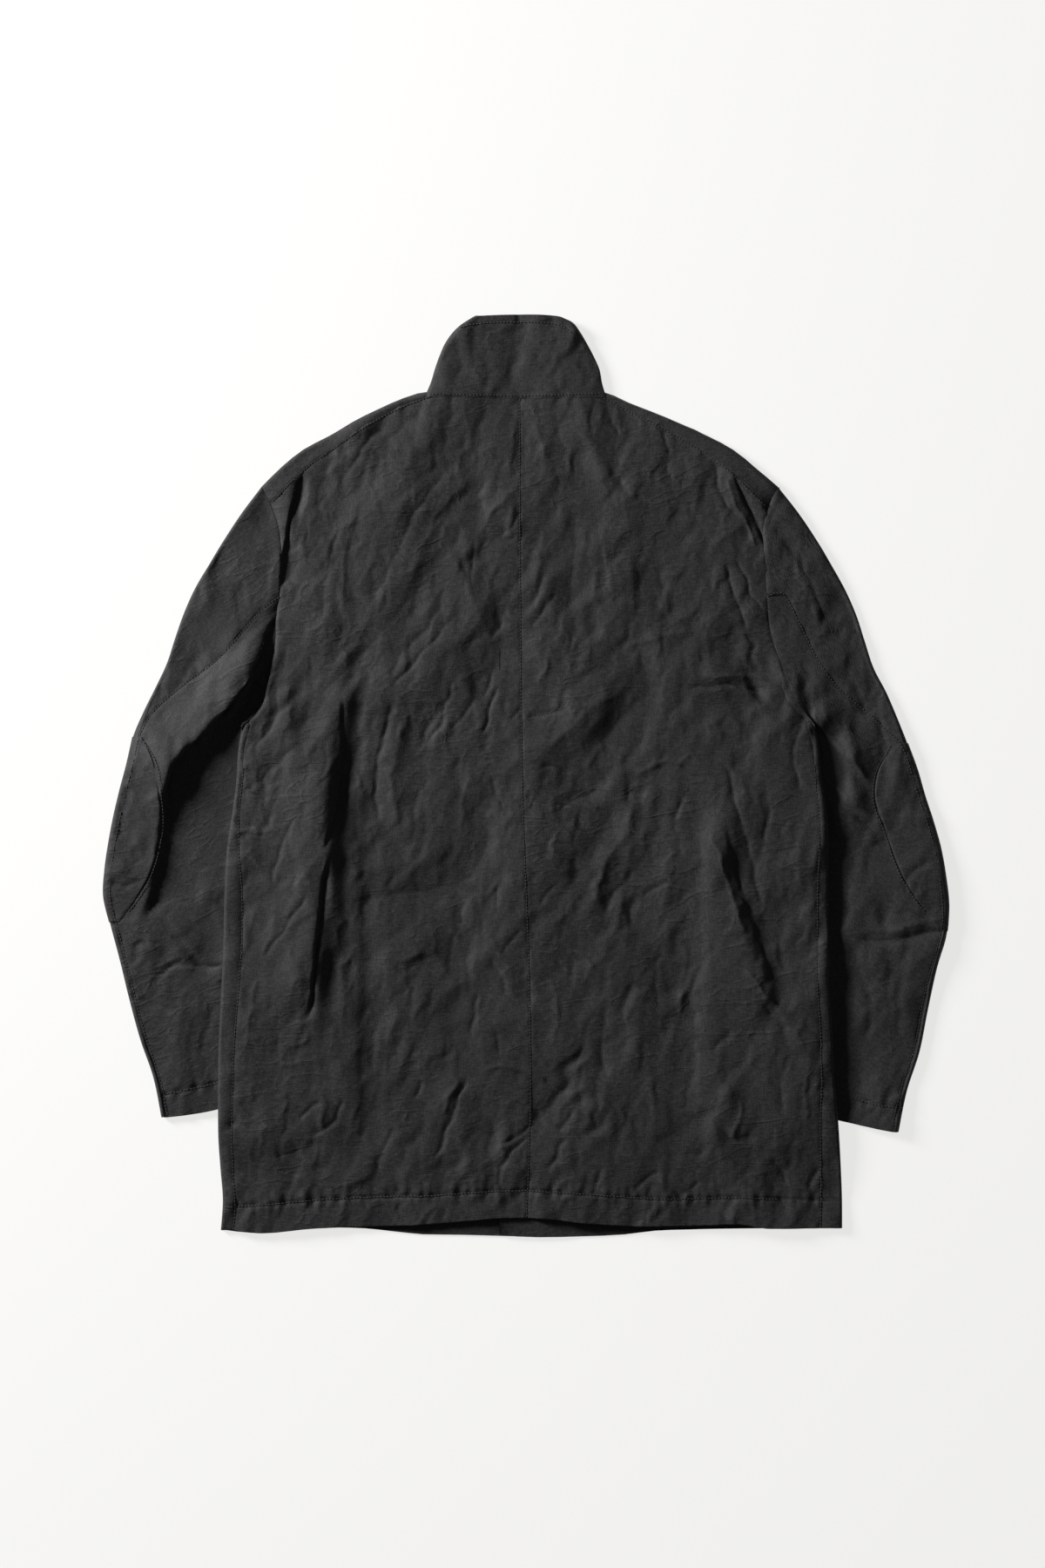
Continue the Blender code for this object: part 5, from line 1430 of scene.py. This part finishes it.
def stitch_row(name, line, colour=(0.020, 0.020, 0.022)):
    """A row of stitches along a line in plan, in millimetres."""
    points = np.array(line, dtype=float)
    spans = np.hypot(*np.diff(points, axis=0).T)
    reach = np.concatenate([[0.0], np.cumsum(spans)])
    count = int(reach[-1] / STITCH_PITCH)
    work = bmesh.new()
    for k in range(count):
        middle = (k + 0.5) * STITCH_PITCH
        ends = []
        for along in (middle - STITCH / 2, middle + STITCH / 2):
            ends.append((np.interp(along, reach, points[:, 0]), np.interp(along, reach, points[:, 1])))
        (start, up), (end, _) = on_cloth(*ends[0]), on_cloth(*ends[1])
        run = end - start
        bead = bmesh.ops.create_cone(work, cap_ends=True, segments=6, radius1=THREAD * MM,
                                     radius2=THREAD * MM, depth=run.length)["verts"]
        turn = Vector((0, 0, 1)).rotation_difference(run).to_matrix().to_4x4()
        bmesh.ops.transform(work, matrix=turn, verts=bead)
        bmesh.ops.translate(work, vec=(start + end) / 2 + up * THREAD * 0.5 * MM, verts=bead)
    mesh = bpy.data.meshes.new(name)
    work.to_mesh(mesh)
    work.free()
    mesh.shade_smooth()
    row = bpy.data.objects.new(name, mesh)
    bpy.context.collection.objects.link(row)
    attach(row, "root")
    thread = bpy.data.materials.new(name + " thread")
    thread.use_nodes = True
    shader = thread.node_tree.nodes["Principled BSDF"]
    fibre = thread.node_tree.nodes.new("ShaderNodeTexNoise")
    fibre.inputs["Scale"].default_value = 1500.0
    ramp = thread.node_tree.nodes.new("ShaderNodeValToRGB")
    ramp.color_ramp.elements[0].color = (*[c * 0.7 for c in colour], 1.0)
    ramp.color_ramp.elements[1].color = (*[c * 1.5 for c in colour], 1.0)
    spot = thread.node_tree.nodes.new("ShaderNodeTexCoord")
    thread.node_tree.links.new(spot.outputs["Object"], fibre.inputs["Vector"])
    thread.node_tree.links.new(fibre.outputs["Fac"], ramp.inputs["Fac"])
    thread.node_tree.links.new(ramp.outputs["Color"], shader.inputs["Base Color"])
    shader.inputs["Roughness"].default_value = 0.7
    mesh.materials.append(thread)
    print(name, count, "stitches")
    return row


# The side seam's stitches stop at the armpit, this many samples from the hem
SEAM_STITCHED = 56


def sampled(line, count=60):
    """Points along a line function."""
    return [line(k / count)[:2] for k in range(count + 1)]


rows = {"hem_stitches": (in_plan(HEM_PIXELS[1:-1]), "back_left"),
        "collar_stitches": (in_plan(COLLAR_PIXELS), "collar"),
        "centre_seam_stitches": (sampled(line_through(CENTRE_BACK)), "back_right"),
        "neck_seam_stitches": (sampled(line_through(NECK_SEAM)), "collar")}
for which in SIDES:
    rows["cuff_stitches_" + which] = (in_plan(CUFF_PIXELS[which]), "under_sleeve_" + which)
    side = SIDES[which]
    border = line_through(side["patch"])
    inset = [beside(border, t / 50, -side["sign"] * 2.0) for t in range(2, 49)]
    rows["patch_stitches_" + which] = (inset, "elbow_patch_" + which)
    side_seam, shoulder_seam = body_lines(side)[1::2]
    rows["side_seam_stitches_" + which] = (sampled(side_seam)[:SEAM_STITCHED], "front_" + which)
    rows["shoulder_stitches_" + which] = (sampled(shoulder_seam), "front_" + which)
    back_seam = sleeve_lines(side)[5]
    rows["sleeve_seam_stitches_" + which] = (sampled(back_seam), "top_sleeve_" + which)
for name, (line, slot) in rows.items():
    stitch_row(name, line)

# %% [markdown]

# %% [markdown]
# The jacket lies on a bright white sweep. One large lamp, low on the upper left, gives the creases
# their light and dark sides and the long shadows to the right and below. The sky fills the rest.

# %% Floor and light
floor_mesh = bpy.data.meshes.new("floor")
floor_work = bmesh.new()
bmesh.ops.create_grid(floor_work, x_segments=1, y_segments=1, size=6.0)
floor_work.to_mesh(floor_mesh)
floor_work.free()
floor = bpy.data.objects.new("floor", floor_mesh)
floor.location.z = -0.0004
bpy.context.collection.objects.link(floor)
white = bpy.data.materials.new("white sweep")
white.use_nodes = True
white_shader = white.node_tree.nodes["Principled BSDF"]
white_shader.inputs["Base Color"].default_value = (0.20, 0.199, 0.198, 1.0)
white_shader.inputs["Emission Color"].default_value = (1.0, 0.995, 0.985, 1.0)
white_shader.inputs["Emission Strength"].default_value = 0.76
white_shader.inputs["Roughness"].default_value = 0.9
white_shader.inputs["Specular IOR Level"].default_value = 0.0
floor_mesh.materials.append(white)

world = bpy.data.worlds.new("studio")
bpy.context.scene.world = world
world.use_nodes = True
world.node_tree.nodes["Background"].inputs["Color"].default_value = (1.0, 1.0, 1.0, 1.0)
world.node_tree.nodes["Background"].inputs["Strength"].default_value = 0.10

lamp_data = bpy.data.lights.new("window", "AREA")
lamp_data.energy = 214.0
lamp_data.size = 0.9
lamp_data.color = (1.0, 0.995, 0.985)
lamp = bpy.data.objects.new("window", lamp_data)
lamp.location = (-2.6, 1.35, 1.2)
lamp.rotation_euler = (lamp.location - Vector((0.1, 0.5, 0.0))).to_track_quat("Z", "Y").to_euler()
bpy.context.collection.objects.link(lamp)
bpy.context.scene.view_settings.view_transform = "Standard"
bpy.context.scene.view_settings.look = "None"
